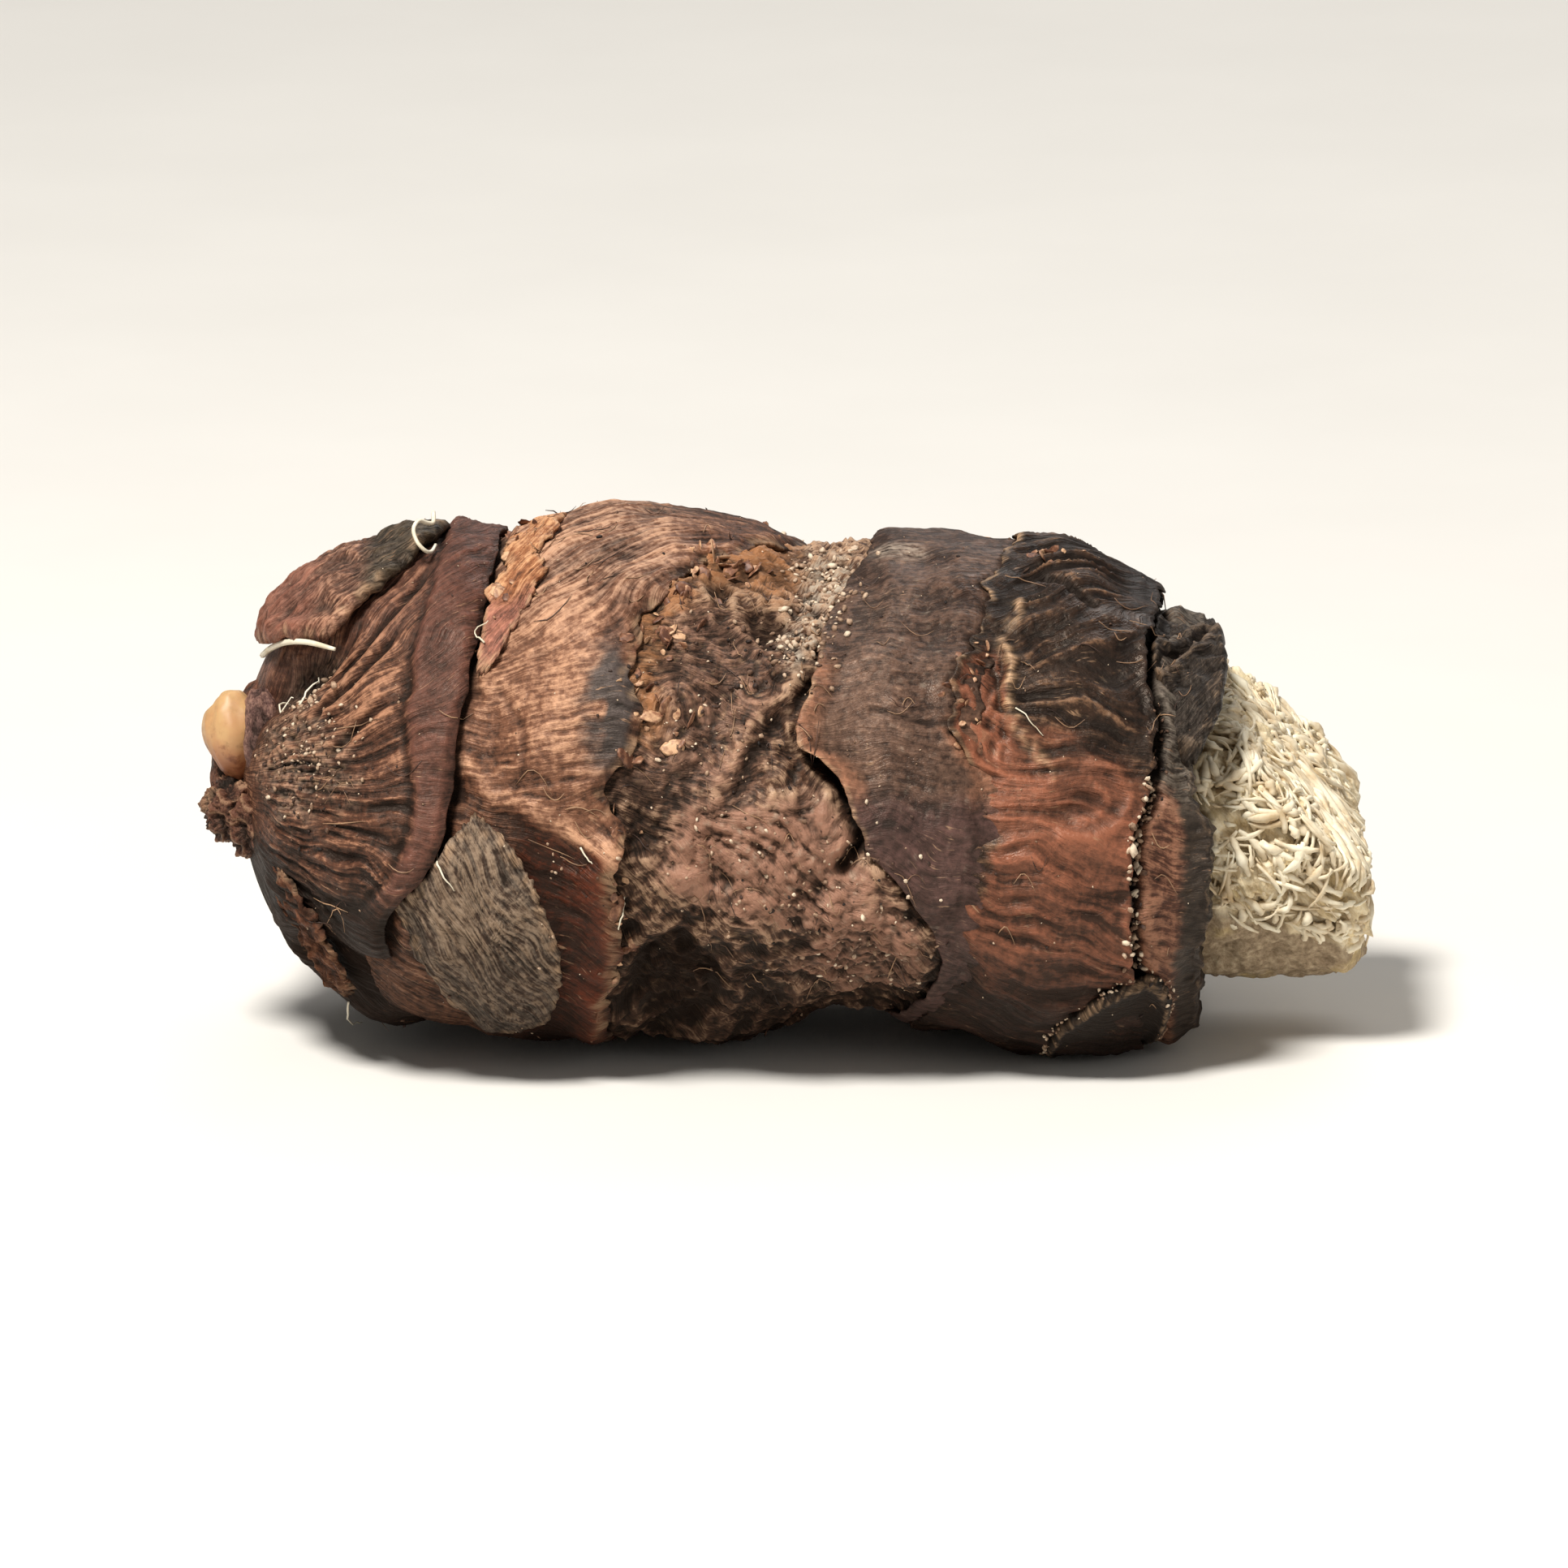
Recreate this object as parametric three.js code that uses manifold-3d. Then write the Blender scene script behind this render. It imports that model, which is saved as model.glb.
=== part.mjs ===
// Orris root: one dried rhizome of a bearded iris, lying on its side.
//
// The piece is a stubby, slightly flattened barrel that grew in yearly joints. Rings of old leaf bases
// wrap it, so the surface swells between oblique grooves. A small bud and the stub of a dead root sit
// on the left end. The right end is broken off: a pale core stands out of the collar of brown skin.
// It all grew together, so it is one solid.
//
// Millimetres. +X runs from the bud to the broken core, +Z is up, and -Y is the side with the clear rings.
// The origin is on the ground, under the middle of the piece.

import * as THREE from "three";
import { mergeVertices } from "three/addons/utils/BufferGeometryUtils.js";
import Module from "manifold-3d";

const wasm = await Module();
wasm.setup();

// --- Driving dimensions ---

// Half of the height along the barrel: [x, half height].
const BARREL_OUTLINE = [
  [-31.0, 0.0],
  [-30.4, 4.8],
  [-28.8, 9.1],
  [-26.2, 12.1],
  [-22.4, 14.3],
  [-18.0, 15.2],
  [-10.4, 15.6],
  [-5.0, 15.3],
  [1.0, 14.5],
  [7.0, 14.5],
  [14.0, 14.7],
  [19.5, 14.0],
  [22.8, 13.1],
  [24.4, 12.2],
];
const END_FACE_OUTLINE = [
  [24.9, 11.0],
  [24.6, 9.2],
  [23.8, 5.0],
  [23.6, 0.0],
];

// Height of the barrel's middle line above the ground: [x, z].
const MIDDLE_LINE = [
  [-31.0, 16.4],
  [-18.0, 15.1],
  [-9.0, 15.4],
  [1.0, 15.6],
  [13.6, 14.3],
  [24.9, 13.1],
];

const DEPTH_TO_HEIGHT = 1.05; // the rhizome is a little wider than it is tall
const SIDE_BEND = 0.9; // how far the middle line bows towards -Y
const BELLY_SQUARENESS = 0.09; // how much the underside is flattened

// Grooves between the yearly joints: place of each on the side, and how far its top leans towards +X.
const GROOVES = [
  { x: -18.2, lean: 1.6, depth: 0.9, width: 1.1 },
  { x: -4.2, lean: 5.0, depth: 0.7, width: 1.5 },
  { x: 4.0, lean: -1.2, depth: 0.7, width: 1.3 },
  { x: 11.8, lean: 1.4, depth: 0.5, width: 1.2 },
  { x: 21.3, lean: 0.4, depth: 0.8, width: 1.0 },
];
const JOINT_SWELL = 0.45; // how far the skin swells halfway between two grooves

const BUD = { centre: [-31.3, -0.9, 16.9], size: [4.6, 4.2, 5.6], turn: 0.25 };
const ROOT_STUB = { centre: [-31.2, -1.2, 11.9], size: [4.8, 4.4, 4.4], turn: -0.4 };

const CORE = { radius: 9.0, from: 19.0, to: 33.3, height: 13.0, depth: 8.4 };
const CORE_EDGE_ROUNDING = 1.5;
// The plane of the break: a point on it and the way it faces.
const BREAK_POINT = [30.2, -1.0, 15.7];
const BREAK_NORMAL = [0.72, -0.1, 0.68];

const SOLE_CUT = 0.4; // how much of the lowest skin is flat, where the piece lies

const RING_SEGMENTS = 64;
const LENGTH_STEPS = 56;

// --- Joining and cutting ---

function solidFrom(geometry) {
  const bare = geometry.clone();
  bare.deleteAttribute("normal");
  bare.deleteAttribute("uv");
  const merged = mergeVertices(bare, 1e-4);
  return new wasm.Manifold(
    new wasm.Mesh({
      numProp: 3,
      vertProperties: merged.attributes.position.array,
      triVerts: new Uint32Array(merged.index.array),
    }),
  );
}

function geometryFrom(solid) {
  const { vertProperties, triVerts } = solid.getMesh();
  const geometry = new THREE.BufferGeometry();
  geometry.setAttribute("position", new THREE.BufferAttribute(vertProperties, 3));
  geometry.setIndex(new THREE.BufferAttribute(triVerts, 1));
  geometry.computeVertexNormals();
  return geometry;
}

// --- Shaping ---

// A curve through [x, value] pairs, read at any x between the first and the last.
function valueAlong(pairs, x) {
  const last = pairs.length - 1;
  const inside = THREE.MathUtils.clamp(x, pairs[0][0], pairs[last][0]);
  let i = pairs.findIndex(([at]) => at > inside) - 1;
  if (i < 0) i = last - 1;
  const [x0, v0] = pairs[i];
  const [x1, v1] = pairs[i + 1];
  const ease = THREE.MathUtils.smoothstep(inside, x0, x1);
  return THREE.MathUtils.lerp(v0, v1, ease);
}

// Moves every vertex of a geometry to where move(vertex) puts it.
function moveVertices(geometry, move) {
  const position = geometry.attributes.position;
  const vertex = new THREE.Vector3();
  for (let i = 0; i < position.count; i++) {
    vertex.fromBufferAttribute(position, i);
    move(vertex);
    position.setXYZ(i, vertex.x, vertex.y, vertex.z);
  }
  geometry.computeVertexNormals();
  return geometry;
}

// A body turned about the X axis from [x, radius] pairs, with the ends on the axis.
function turnedAboutX(outline, steps) {
  const curve = new THREE.SplineCurve(outline.map(([x, r]) => new THREE.Vector2(r, x)));
  const points = curve.getPoints(steps);
  for (const point of points) point.x = Math.max(point.x, 0);
  points[0].x = 0;
  points[points.length - 1].x = 0;
  // The lathe turns about +Y, and this turns +Y to +X.
  return new THREE.LatheGeometry(points, RING_SEGMENTS).rotateZ(-Math.PI / 2);
}

// How far the skin stands above or below the plain barrel, at x and at the angle above the side.
function skinRelief(x, angle) {
  const up = Math.sin(angle);
  const edges = GROOVES.map((groove) => groove.x + groove.lean * up);
  let relief = 0;
  GROOVES.forEach((groove, i) => {
    const off = (x - edges[i]) / groove.width;
    relief -= groove.depth * Math.exp(-off * off);
  });
  const stations = [-31, ...edges, 27];
  for (let i = 0; i + 1 < stations.length; i++) {
    const along = (x - stations[i]) / (stations[i + 1] - stations[i]);
    if (along > 0 && along < 1) relief += JOINT_SWELL * Math.sin(Math.PI * along);
  }
  const lumps = 0.4 * Math.sin(3 * angle + 0.17 * x + 0.6) + 0.3 * Math.sin(2 * angle - 0.31 * x + 2.1);
  return relief + lumps;
}

function barrel() {
  const outline = [...BARREL_OUTLINE, ...END_FACE_OUTLINE];
  const geometry = turnedAboutX(outline, LENGTH_STEPS);
  const [firstX] = BARREL_OUTLINE[0];
  const [endX] = END_FACE_OUTLINE[0];
  return moveVertices(geometry, (v) => {
    const radius = Math.hypot(v.y, v.z);
    const angle = Math.atan2(v.z, -v.y);
    // Relief fades out on the end faces, where the radius runs to nothing.
    const share = THREE.MathUtils.smoothstep(radius, 3, 11);
    const full = radius + share * skinRelief(v.x, angle);
    const belly = v.z < 0 ? 1 - BELLY_SQUARENESS * share * Math.sin(angle) ** 4 : 1;
    const collar = THREE.MathUtils.smoothstep(v.x, 19, endX) * share;
    const height = valueAlong(MIDDLE_LINE, v.x);
    const bow = Math.sin((Math.PI * (v.x - firstX)) / (endX - firstX));
    v.y = -Math.cos(angle) * full * DEPTH_TO_HEIGHT - SIDE_BEND * bow;
    v.z = Math.sin(angle) * full * belly + height;
    // The broken edge of the skin is longest on top, as a flap.
    v.x += collar * (0.9 * Math.exp(-(((angle - 1.9) / 0.5) ** 2)) + 0.35 * Math.sin(5 * angle));
  });
}

// A smooth knob, such as a bud: an egg of the given size, tilted about Y.
function knob({ centre, size, turn }) {
  return new THREE.SphereGeometry(0.5, 24, 16)
    .scale(...size)
    .rotateY(turn)
    .translate(...centre);
}

// The pale flesh where the rhizome broke: a short stub whose end is cut across on a slant.
function brokenCore() {
  const { radius, from, to, height, depth } = CORE;
  const outline = [
    [from, 0],
    [from, radius],
    [(from + to) / 2, radius],
    [to - CORE_EDGE_ROUNDING, radius],
    [to, radius - CORE_EDGE_ROUNDING],
    [to, 0],
  ];
  const points = outline.map(([x, r]) => new THREE.Vector2(r, x));
  const stub = new THREE.LatheGeometry(points, RING_SEGMENTS / 2).rotateZ(-Math.PI / 2);
  moveVertices(stub, (v) => {
    const angle = Math.atan2(v.z, -v.y);
    const lump = 1 + 0.05 * Math.sin(3 * angle + 0.8) + 0.03 * Math.sin(5 * angle - 1);
    v.y *= (depth / radius) * lump;
    v.z = v.z * lump + height;
  });

  // A block whose lower face is the plane of the break takes everything beyond it off.
  const blockSide = 60;
  const turn = new THREE.Quaternion().setFromUnitVectors(
    new THREE.Vector3(0, 0, 1),
    new THREE.Vector3(...BREAK_NORMAL).normalize(),
  );
  const block = new THREE.BoxGeometry(blockSide, blockSide, blockSide)
    .translate(0, 0, blockSide / 2)
    .applyQuaternion(turn)
    .translate(...BREAK_POINT);
  return solidFrom(stub).subtract(solidFrom(block));
}

// --- The rhizome ---

function rhizomeGeometry() {
  const skin = barrel();
  skin.computeBoundingBox();
  const ground = skin.boundingBox.min.z + SOLE_CUT;
  const floorSide = 120;
  const floor = new THREE.BoxGeometry(floorSide, floorSide, floorSide).translate(0, 0, ground - floorSide / 2);

  const whole = solidFrom(skin)
    .add(solidFrom(knob(BUD)))
    .add(solidFrom(knob(ROOT_STUB)))
    .add(brokenCore())
    .subtract(solidFrom(floor));

  const geometry = geometryFrom(whole);
  geometry.computeBoundingBox();
  const middle = geometry.boundingBox.getCenter(new THREE.Vector3());
  return geometry.translate(-middle.x, -middle.y, -ground);
}

const rhizome = new THREE.Mesh(
  rhizomeGeometry(),
  new THREE.MeshStandardMaterial({ color: 0x72503f, roughness: 0.62, metalness: 0 }),
);
rhizome.name = "rhizome";

const orrisRoot = new THREE.Group();
orrisRoot.add(rhizome);

export default orrisRoot;
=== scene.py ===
# Looks of the orris root: a dried iris rhizome, wrapped in rings of papery leaf bases, with a small bud
# at one end and a broken, fibrous core at the other.
#
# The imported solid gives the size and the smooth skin. That skin is unrolled into a chart, and every ring,
# scale, crack and hair is placed on the chart by two numbers: u, in mm along the rhizome from the bud to
# the core, and turn, in degrees round it, from the front (-Y, at 0) up over the top (+Z, at 90).

import functools
import itertools
import math

import bmesh
import bpy
import numpy as np
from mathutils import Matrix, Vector
from mathutils.bvhtree import BVHTree


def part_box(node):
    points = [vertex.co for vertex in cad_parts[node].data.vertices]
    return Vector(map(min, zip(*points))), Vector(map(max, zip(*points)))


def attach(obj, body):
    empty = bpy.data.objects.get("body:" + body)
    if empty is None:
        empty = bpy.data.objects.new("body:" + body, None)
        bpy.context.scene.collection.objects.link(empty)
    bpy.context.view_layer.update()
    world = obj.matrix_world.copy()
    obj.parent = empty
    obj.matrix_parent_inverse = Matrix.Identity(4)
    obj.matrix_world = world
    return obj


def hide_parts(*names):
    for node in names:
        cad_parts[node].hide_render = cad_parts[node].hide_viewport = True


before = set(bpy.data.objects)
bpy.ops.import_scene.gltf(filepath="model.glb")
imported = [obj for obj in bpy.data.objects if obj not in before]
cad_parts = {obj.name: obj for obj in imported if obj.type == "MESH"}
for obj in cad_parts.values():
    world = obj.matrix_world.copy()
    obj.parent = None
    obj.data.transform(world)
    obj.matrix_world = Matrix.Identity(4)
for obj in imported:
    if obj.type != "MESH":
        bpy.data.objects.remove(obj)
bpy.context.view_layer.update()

MM = 1000.0  # millimetres in a metre
NODE = "rhizome"
FINENESS = 1.0
SKIN_RADIUS = 15.3  # mm, the usual distance from the middle line to the skin
DEGREE = math.radians(SKIN_RADIUS)  # mm round the skin for a degree of turn
RAYS = 120  # rays in one round of a chart
RAY_TURNS = np.radians(np.arange(RAYS) * 360.0 / RAYS - 180.0)


def finely(*counts):
    """Row and column counts for the fineness of this run."""
    return [int(count * FINENESS) for count in counts]


# --- Random relief ---


class Noise:
    """Smooth random values in space, between about -1 and 1, the same on every run."""

    CELLS = 256  # the pattern repeats after this many units
    GAIN = 1.7  # brings the values up to about -1 to 1

    def __init__(self, seed):
        rng = np.random.default_rng(seed)
        self.order = rng.permutation(self.CELLS)
        directions = rng.normal(size=(self.CELLS, 3))
        self.slopes = directions / np.linalg.norm(directions, axis=1, keepdims=True)

    def __call__(self, points):
        cell = np.floor(points).astype(np.int64)
        inside = points - cell
        ease = inside**3 * (inside * (inside * 6 - 15) + 10)
        total = np.zeros(points.shape[:-1])
        for corner in itertools.product((0, 1), repeat=3):
            step = np.array(corner)
            at = (cell + step) % self.CELLS
            pick = self.order[at[..., 0]]
            for axis in (1, 2):
                pick = self.order[(pick + at[..., axis]) % self.CELLS]
            weight = np.where(step, ease, 1 - ease).prod(axis=-1)
            total += weight * (self.slopes[pick] * (inside - step)).sum(axis=-1)
        return total * self.GAIN

    def cloud(self, points, octaves, gain=0.5):
        """Noise on noise, each layer twice as fine as the last."""
        total = np.zeros(points.shape[:-1])
        weight = 1.0
        for octave in range(octaves):
            total += weight * self(points * 2.0**octave + 17.3 * octave)
            weight *= gain
        return total

    def ridges(self, points):
        """Sharp winding crests, from -1 in the hollows to 1 on the crests."""
        return 1 - 2 * np.minimum(np.abs(self(points)) * 1.4, 1)


def smooth(low, high, x):
    """0 below low, 1 above high and a soft step between. low may be the larger."""
    share = np.clip((x - low) / (high - low), 0.0, 1.0)
    return share * share * (3 - 2 * share)


def within(x, low, full_low, full_high, high):
    """1 between the two middle values, and 0 beyond the two outer ones."""
    return smooth(low, full_low, x) * smooth(high, full_high, x)


def bell(x, middle, width):
    return np.exp(-(((x - middle) / width) ** 2))


def most(*shares):
    """The greatest of several shares, place by place."""
    return functools.reduce(np.maximum, shares)


def curve_between(t, here, slope_here, there, slope_there):
    """A smooth curve from here, at t = 0, to there, at t = 1."""
    return (
        (2 * t**3 - 3 * t**2 + 1) * here
        + (t**3 - 2 * t**2 + t) * slope_here
        + (3 * t**2 - 2 * t**3) * there
        + (t**3 - t**2) * slope_there
    )


def packed(*channels):
    return np.stack(np.broadcast_arrays(*channels), axis=-1).astype(float)


def spread(count, reach, wraps):
    """A matrix that averages each value with its neighbours, weighted by a bell curve."""
    gap = np.abs(np.subtract.outer(np.arange(count), np.arange(count)))
    if wraps:
        gap = np.minimum(gap, count - gap)
    weights = bell(gap, 0, max(reach, 0.01))
    return weights / weights.sum(axis=1, keepdims=True)


FINE_REACH, BROAD_REACH = 0.4, 1.6  # mm
FINE_CREST, BROAD_CREST = 0.14, 0.4  # mm, the height that counts as a full crest


def crests(lift, row_mm, column_mm):
    """How far each place on a closed grid stands above its surroundings: finely, then broadly."""

    def softened(reach):
        along = spread(lift.shape[0], reach / row_mm, False)
        around = spread(lift.shape[1] - 1, reach / column_mm, True)
        inner = along @ lift[:, :-1] @ around
        return np.concatenate([inner, inner[:, :1]], axis=1)

    near, far = softened(FINE_REACH), softened(BROAD_REACH)
    fine, broad = (lift - near) / FINE_CREST, (near - far) / BROAD_CREST
    return packed(np.clip(fine, -1, 1), np.clip(broad, -1, 1), 0.0)


# --- The chart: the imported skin, smoothed and unrolled ---


class Chart:
    """Turns (u, turn, lift) into places in mm. The barrel's rays leave its middle line square to it, and
    the bud end's rays fan out from the middle line's first point, so the pole there is one place."""

    DOME_U = -18.0  # where the domed bud end begins
    RIM_U = 23.5  # where the skin turns over to the broken end
    POLE_U = -40.1  # where the rays of the bud end all point along -X
    TIP_INSET = 2.35  # the bud and the root stub stand this far beyond the dome
    STEP = 0.5  # mm between two rounds of rays
    SMOOTH_ALONG = 2.1  # mm
    SMOOTH_ROUND = 2.8  # rays
    OUTSIDE = 100.0  # mm from the middle line, well clear of the skin

    def __init__(self, node):
        self.tree = self.tree_of(node)
        self.xs = np.arange(self.DOME_U, self.RIM_U + 0.01, self.STEP)
        low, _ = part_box(NODE)
        self.tip = low.x * MM + self.TIP_INSET
        self.mid_z = np.array([self.middle((x, 0, 0), 2) for x in self.xs])
        self.mid_y = np.array([self.middle((x, 0, z), 1) for x, z in zip(self.xs, self.mid_z)])
        radii = np.array(
            [
                [self.cast((x, y, z), (0, -math.cos(t), math.sin(t))) for t in RAY_TURNS]
                for x, y, z in zip(self.xs, self.mid_y, self.mid_z)
            ]
        )
        self.radii = self.smoothed(radii)

    def tree_of(self, node):
        bm = bmesh.new()
        bm.from_mesh(node.data)
        bmesh.ops.remove_doubles(bm, verts=bm.verts, dist=1e-7)
        bmesh.ops.scale(bm, vec=(MM, MM, MM), verts=bm.verts)
        tree = BVHTree.FromBMesh(bm)
        bm.free()
        return tree

    def cast(self, start, direction):
        return self.tree.ray_cast(Vector(start), Vector(direction))[3]

    def middle(self, point, axis):
        """Halfway between the two sides of the skin through a point, along an axis."""
        away = Vector((0, 0, 0))
        away[axis] = 1.0
        over = Vector(point)
        over[axis] = 0.0
        high = self.OUTSIDE - self.cast(over + away * self.OUTSIDE, -away)
        low = self.cast(over - away * self.OUTSIDE, away) - self.OUTSIDE
        return (high + low) / 2

    def smoothed(self, table):
        along = spread(len(table), self.SMOOTH_ALONG / self.STEP, False)
        around = spread(RAYS, self.SMOOTH_ROUND, True)
        return along @ table @ around

    def radius(self, u, turn):
        along = np.clip((u - self.DOME_U) / self.STEP, 0, len(self.xs) - 1.001)
        return looked_up(self.radii, along, turn)

    def centre(self, u):
        x = np.clip(u, self.DOME_U, self.RIM_U)
        z = np.interp(x, self.xs, self.mid_z)
        y = np.interp(x, self.xs, self.mid_y)
        return np.stack([np.maximum(u, self.DOME_U), y, z], axis=-1)

    def direction(self, u, turn):
        fan = np.clip((self.DOME_U - u) / (self.DOME_U - self.POLE_U), 0, 1) * math.pi / 2
        t = np.radians(turn)
        out = np.cos(fan)
        return np.stack([-np.sin(fan), -np.cos(t) * out, np.sin(t) * out], axis=-1)

    def at(self, u, turn, lift):
        u, turn, lift = np.broadcast_arrays(*(np.asarray(v, float) for v in (u, turn, lift)))
        out = self.direction(u, turn)
        poleward = out[..., 0] ** 2
        radius = self.radius(u, turn) * (1 - poleward) + (self.DOME_U - self.tip) * poleward
        return self.centre(u) + out * (radius + lift)[..., None]


def looked_up(table, along, turn):
    """Values of a chart's table between its rows and its rays."""
    around = ((turn + 180.0) / 360.0 * RAYS) % RAYS
    i, j = along.astype(int), around.astype(int) % RAYS
    k = (j + 1) % RAYS
    f, g = along - i, around - np.floor(around)
    near = table[i, j] * (1 - g) + table[i, k] * g
    far = table[i + 1, j] * (1 - g) + table[i + 1, k] * g
    return near * (1 - f) + far * f


CHART = Chart(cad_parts[NODE])


def apart(turn, other):
    """Signed degrees from other to turn, the short way round."""
    return (turn - other + 180.0) % 360.0 - 180.0


def round_trip(turn):
    """Two numbers in mm that change smoothly with turn and meet again after a full turn."""
    t = np.radians(turn)
    return SKIN_RADIUS * np.cos(t), SKIN_RADIUS * np.sin(t)


def plain_places(u, turn):
    across, upward = round_trip(turn)
    return packed(u, across, upward)


def underside_shade(turn):
    """How much shade is painted onto the skin: most of all on the underside."""
    return 0.5 * smooth(-8, -52, turn) * smooth(-172, -135, turn)


def mound(u, turn, at, size):
    """1 at a place on the chart, and falling to 0 over size, in mm along and mm round."""
    across = apart(turn, at[1]) * DEGREE
    return np.exp(-(((u - at[0]) / size[0]) ** 2) - (across / size[1]) ** 2)


def line_distance(u, turn, points):
    """How far a place on the chart is from a line of [u, turn] points, in mm, the share of the line that
    is passed there, and the side: positive to the left of the way that the line runs."""
    here = packed(u, turn * DEGREE)
    corners = np.array(points, float) * [1, DEGREE]
    best = np.full(u.shape, 1e9)
    share = np.zeros(u.shape)
    side = np.zeros(u.shape)
    for i, (a, b) in enumerate(zip(corners[:-1], corners[1:])):
        run = b - a
        t = np.clip(((here - a) @ run) / (run @ run), 0, 1)
        off = here - a - t[..., None] * run
        distance = np.hypot(off[..., 0], off[..., 1])
        closer = distance < best
        best = np.where(closer, distance, best)
        share = np.where(closer, (i + t) / (len(corners) - 1), share)
        side = np.where(closer, np.sign(run[0] * off[..., 1] - run[1] * off[..., 0]), side)
    return best, share, side


def faded_line(u, turn, points, first, last):
    """The distance from a line on the chart, and a share that is 1 along its middle and 0 at its ends."""
    distance, share, _ = line_distance(u, turn, points)
    return distance, within(share, 0, first, last, 1)


class Edge:
    """Where a ring of skin ends: u for every turn, through chosen [turn, u] points, torn by noise.
    tears gives how far the coarse, middle and fine tears reach, in mm."""

    def __init__(self, points, seed, tears):
        ordered = sorted(points)
        self.turns = np.array([t for t, _ in ordered], float)
        self.us = np.array([u for _, u in ordered], float)
        self.noise = Noise(seed)
        self.tears = tears

    def plain(self, turn):
        """A curve through the points that closes on itself."""
        wrapped = (np.asarray(turn, float) - self.turns[0]) % 360.0 + self.turns[0]
        turns = np.concatenate([self.turns[-2:] - 360, self.turns, self.turns[:3] + 360])
        us = np.concatenate([self.us[-2:], self.us, self.us[:3]])
        i = np.clip(np.searchsorted(turns, wrapped, side="right") - 1, 1, len(turns) - 3)
        gap = turns[i + 1] - turns[i]
        t = (wrapped - turns[i]) / gap
        slope_here = (us[i + 1] - us[i - 1]) / (turns[i + 1] - turns[i - 1]) * gap
        slope_next = (us[i + 2] - us[i]) / (turns[i + 2] - turns[i]) * gap
        return curve_between(t, us[i], slope_here, us[i + 1], slope_next)

    def __call__(self, turn):
        places = plain_places(0.0 * turn, turn)
        coarse, middle, fine = self.tears
        torn = coarse * self.noise(places / 3.0) + middle * self.noise(places / 1.3 + 31)
        torn += fine * self.noise(places / 0.55 + 77)
        return self.plain(turn) + torn


# The edges of the rings, from the bud to the broken end: [turn, u].
TIP_EDGE = Edge(
    [[-180, -17.2], [-150, -17.9], [-120, -18.8], [-90, -19.4], [-60, -20.4], [-38, -21.6], [-22, -22.0],
     [-14, -21.4], [-8, -20.3], [-1, -19.3], [8, -18.7], [18, -18.5], [28, -18.1], [38, -17.7],
     [52, -17.1], [68, -16.6], [95, -16.0], [120, -15.6], [150, -16.2]],
    seed=11, tears=(0.2, 0.12, 0.06),
)
TAN_EDGE = Edge(
    [[-180, -4.0], [-150, -6.4], [-115, -8.4], [-76, -9.6], [-40, -10.0], [-30, -9.6], [-20, -9.2],
     [-8, -9.5], [2, -9.2], [10, -10.0], [16, -9.5], [22, -8.4], [34, -8.5], [42, -7.9], [50, -7.3],
     [60, -6.3], [68, -4.9], [77, -3.3], [90, -1.2], [106, 0.8], [128, 1.6], [150, 0.4]],
    seed=12, tears=(0.5, 0.4, 0.25),
)
SATIN_EDGE = Edge(
    [[-180, 2.4], [-150, 2.0], [-112, 3.4], [-84, 4.8], [-60, 6.2], [-40, 8.0], [-30, 9.0], [-20, 8.6],
     [-11, 6.9], [-3, 5.0], [6, 4.1], [14, 3.3], [19.5, 2.1], [23, 0.7], [31, 1.1], [41, 1.8], [58, 2.5],
     [73, 3.7], [88, 4.9], [116, 5.4], [150, 4.0]],
    seed=13, tears=(0.2, 0.2, 0.1),
)
COPPER_EDGE = Edge(
    [[-180, 12.2], [-150, 11.0], [-112, 9.4], [-80, 7.8], [-56, 7.6], [-38, 9.2], [-28, 10.4], [-20, 9.6],
     [-9, 10.1], [2, 10.7], [14, 11.1], [20, 10.3], [27, 9.6], [40, 9.8], [50, 10.5], [60, 11.6],
     [68, 11.2], [82, 12.8], [110, 13.4], [150, 12.8]],
    seed=14, tears=(0.35, 0.4, 0.25),
)
COLLAR_EDGE = Edge(
    [[-180, 21.2], [-140, 20.7], [-95, 21.0], [-60, 20.7], [-30, 20.3], [-20, 20.0], [-4, 19.8], [7, 20.1],
     [16, 20.8], [26, 21.2], [36, 21.2], [47, 20.7], [56, 20.9], [70, 21.4], [100, 22.0], [145, 21.7]],
    seed=15, tears=(0.25, 0.25, 0.15),
)
COLLAR_RIM = Edge(
    [[-180, 23.4], [-130, 23.9], [-80, 23.2], [-45, 23.2], [-20, 23.4], [0, 23.9], [12, 23.5], [25, 22.7],
     [45, 22.7], [62, 23.2], [90, 23.6], [130, 23.6]],
    seed=16, tears=(0.3, 0.3, 0.2),
)


# --- Meshes ---


def finished(name, mesh, material):
    obj = bpy.data.objects.new(name, mesh)
    bpy.context.scene.collection.objects.link(obj)
    mesh.materials.clear()
    mesh.materials.append(material)
    mesh.polygons.foreach_set("use_smooth", [True] * len(mesh.polygons))
    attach(obj, "root")
    return obj


def store(mesh, attributes, pick=slice(None)):
    for key, values in attributes.items():
        layer = mesh.attributes.new(key, "FLOAT_VECTOR", "POINT")
        layer.data.foreach_set("vector", values.reshape(-1, 3)[pick].astype(np.float32).ravel())


SKIN_GAP, HAIR_GAP = 2e-7, 1e-8  # m, vertices nearer to each other than this are merged


def sewn(mesh, gap):
    """Merges the vertices of a mesh that touch, and turns its faces outwards."""
    bm = bmesh.new()
    bm.from_mesh(mesh)
    bmesh.ops.remove_doubles(bm, verts=bm.verts, dist=gap)
    bmesh.ops.recalc_face_normals(bm, faces=bm.faces)
    bm.to_mesh(mesh)
    bm.free()


def gathered(places):
    """Draws the first and the last row of a grid together in a point each."""
    for row in (0, -1):
        places[row] = places[row].mean(axis=0)
    return places


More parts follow.
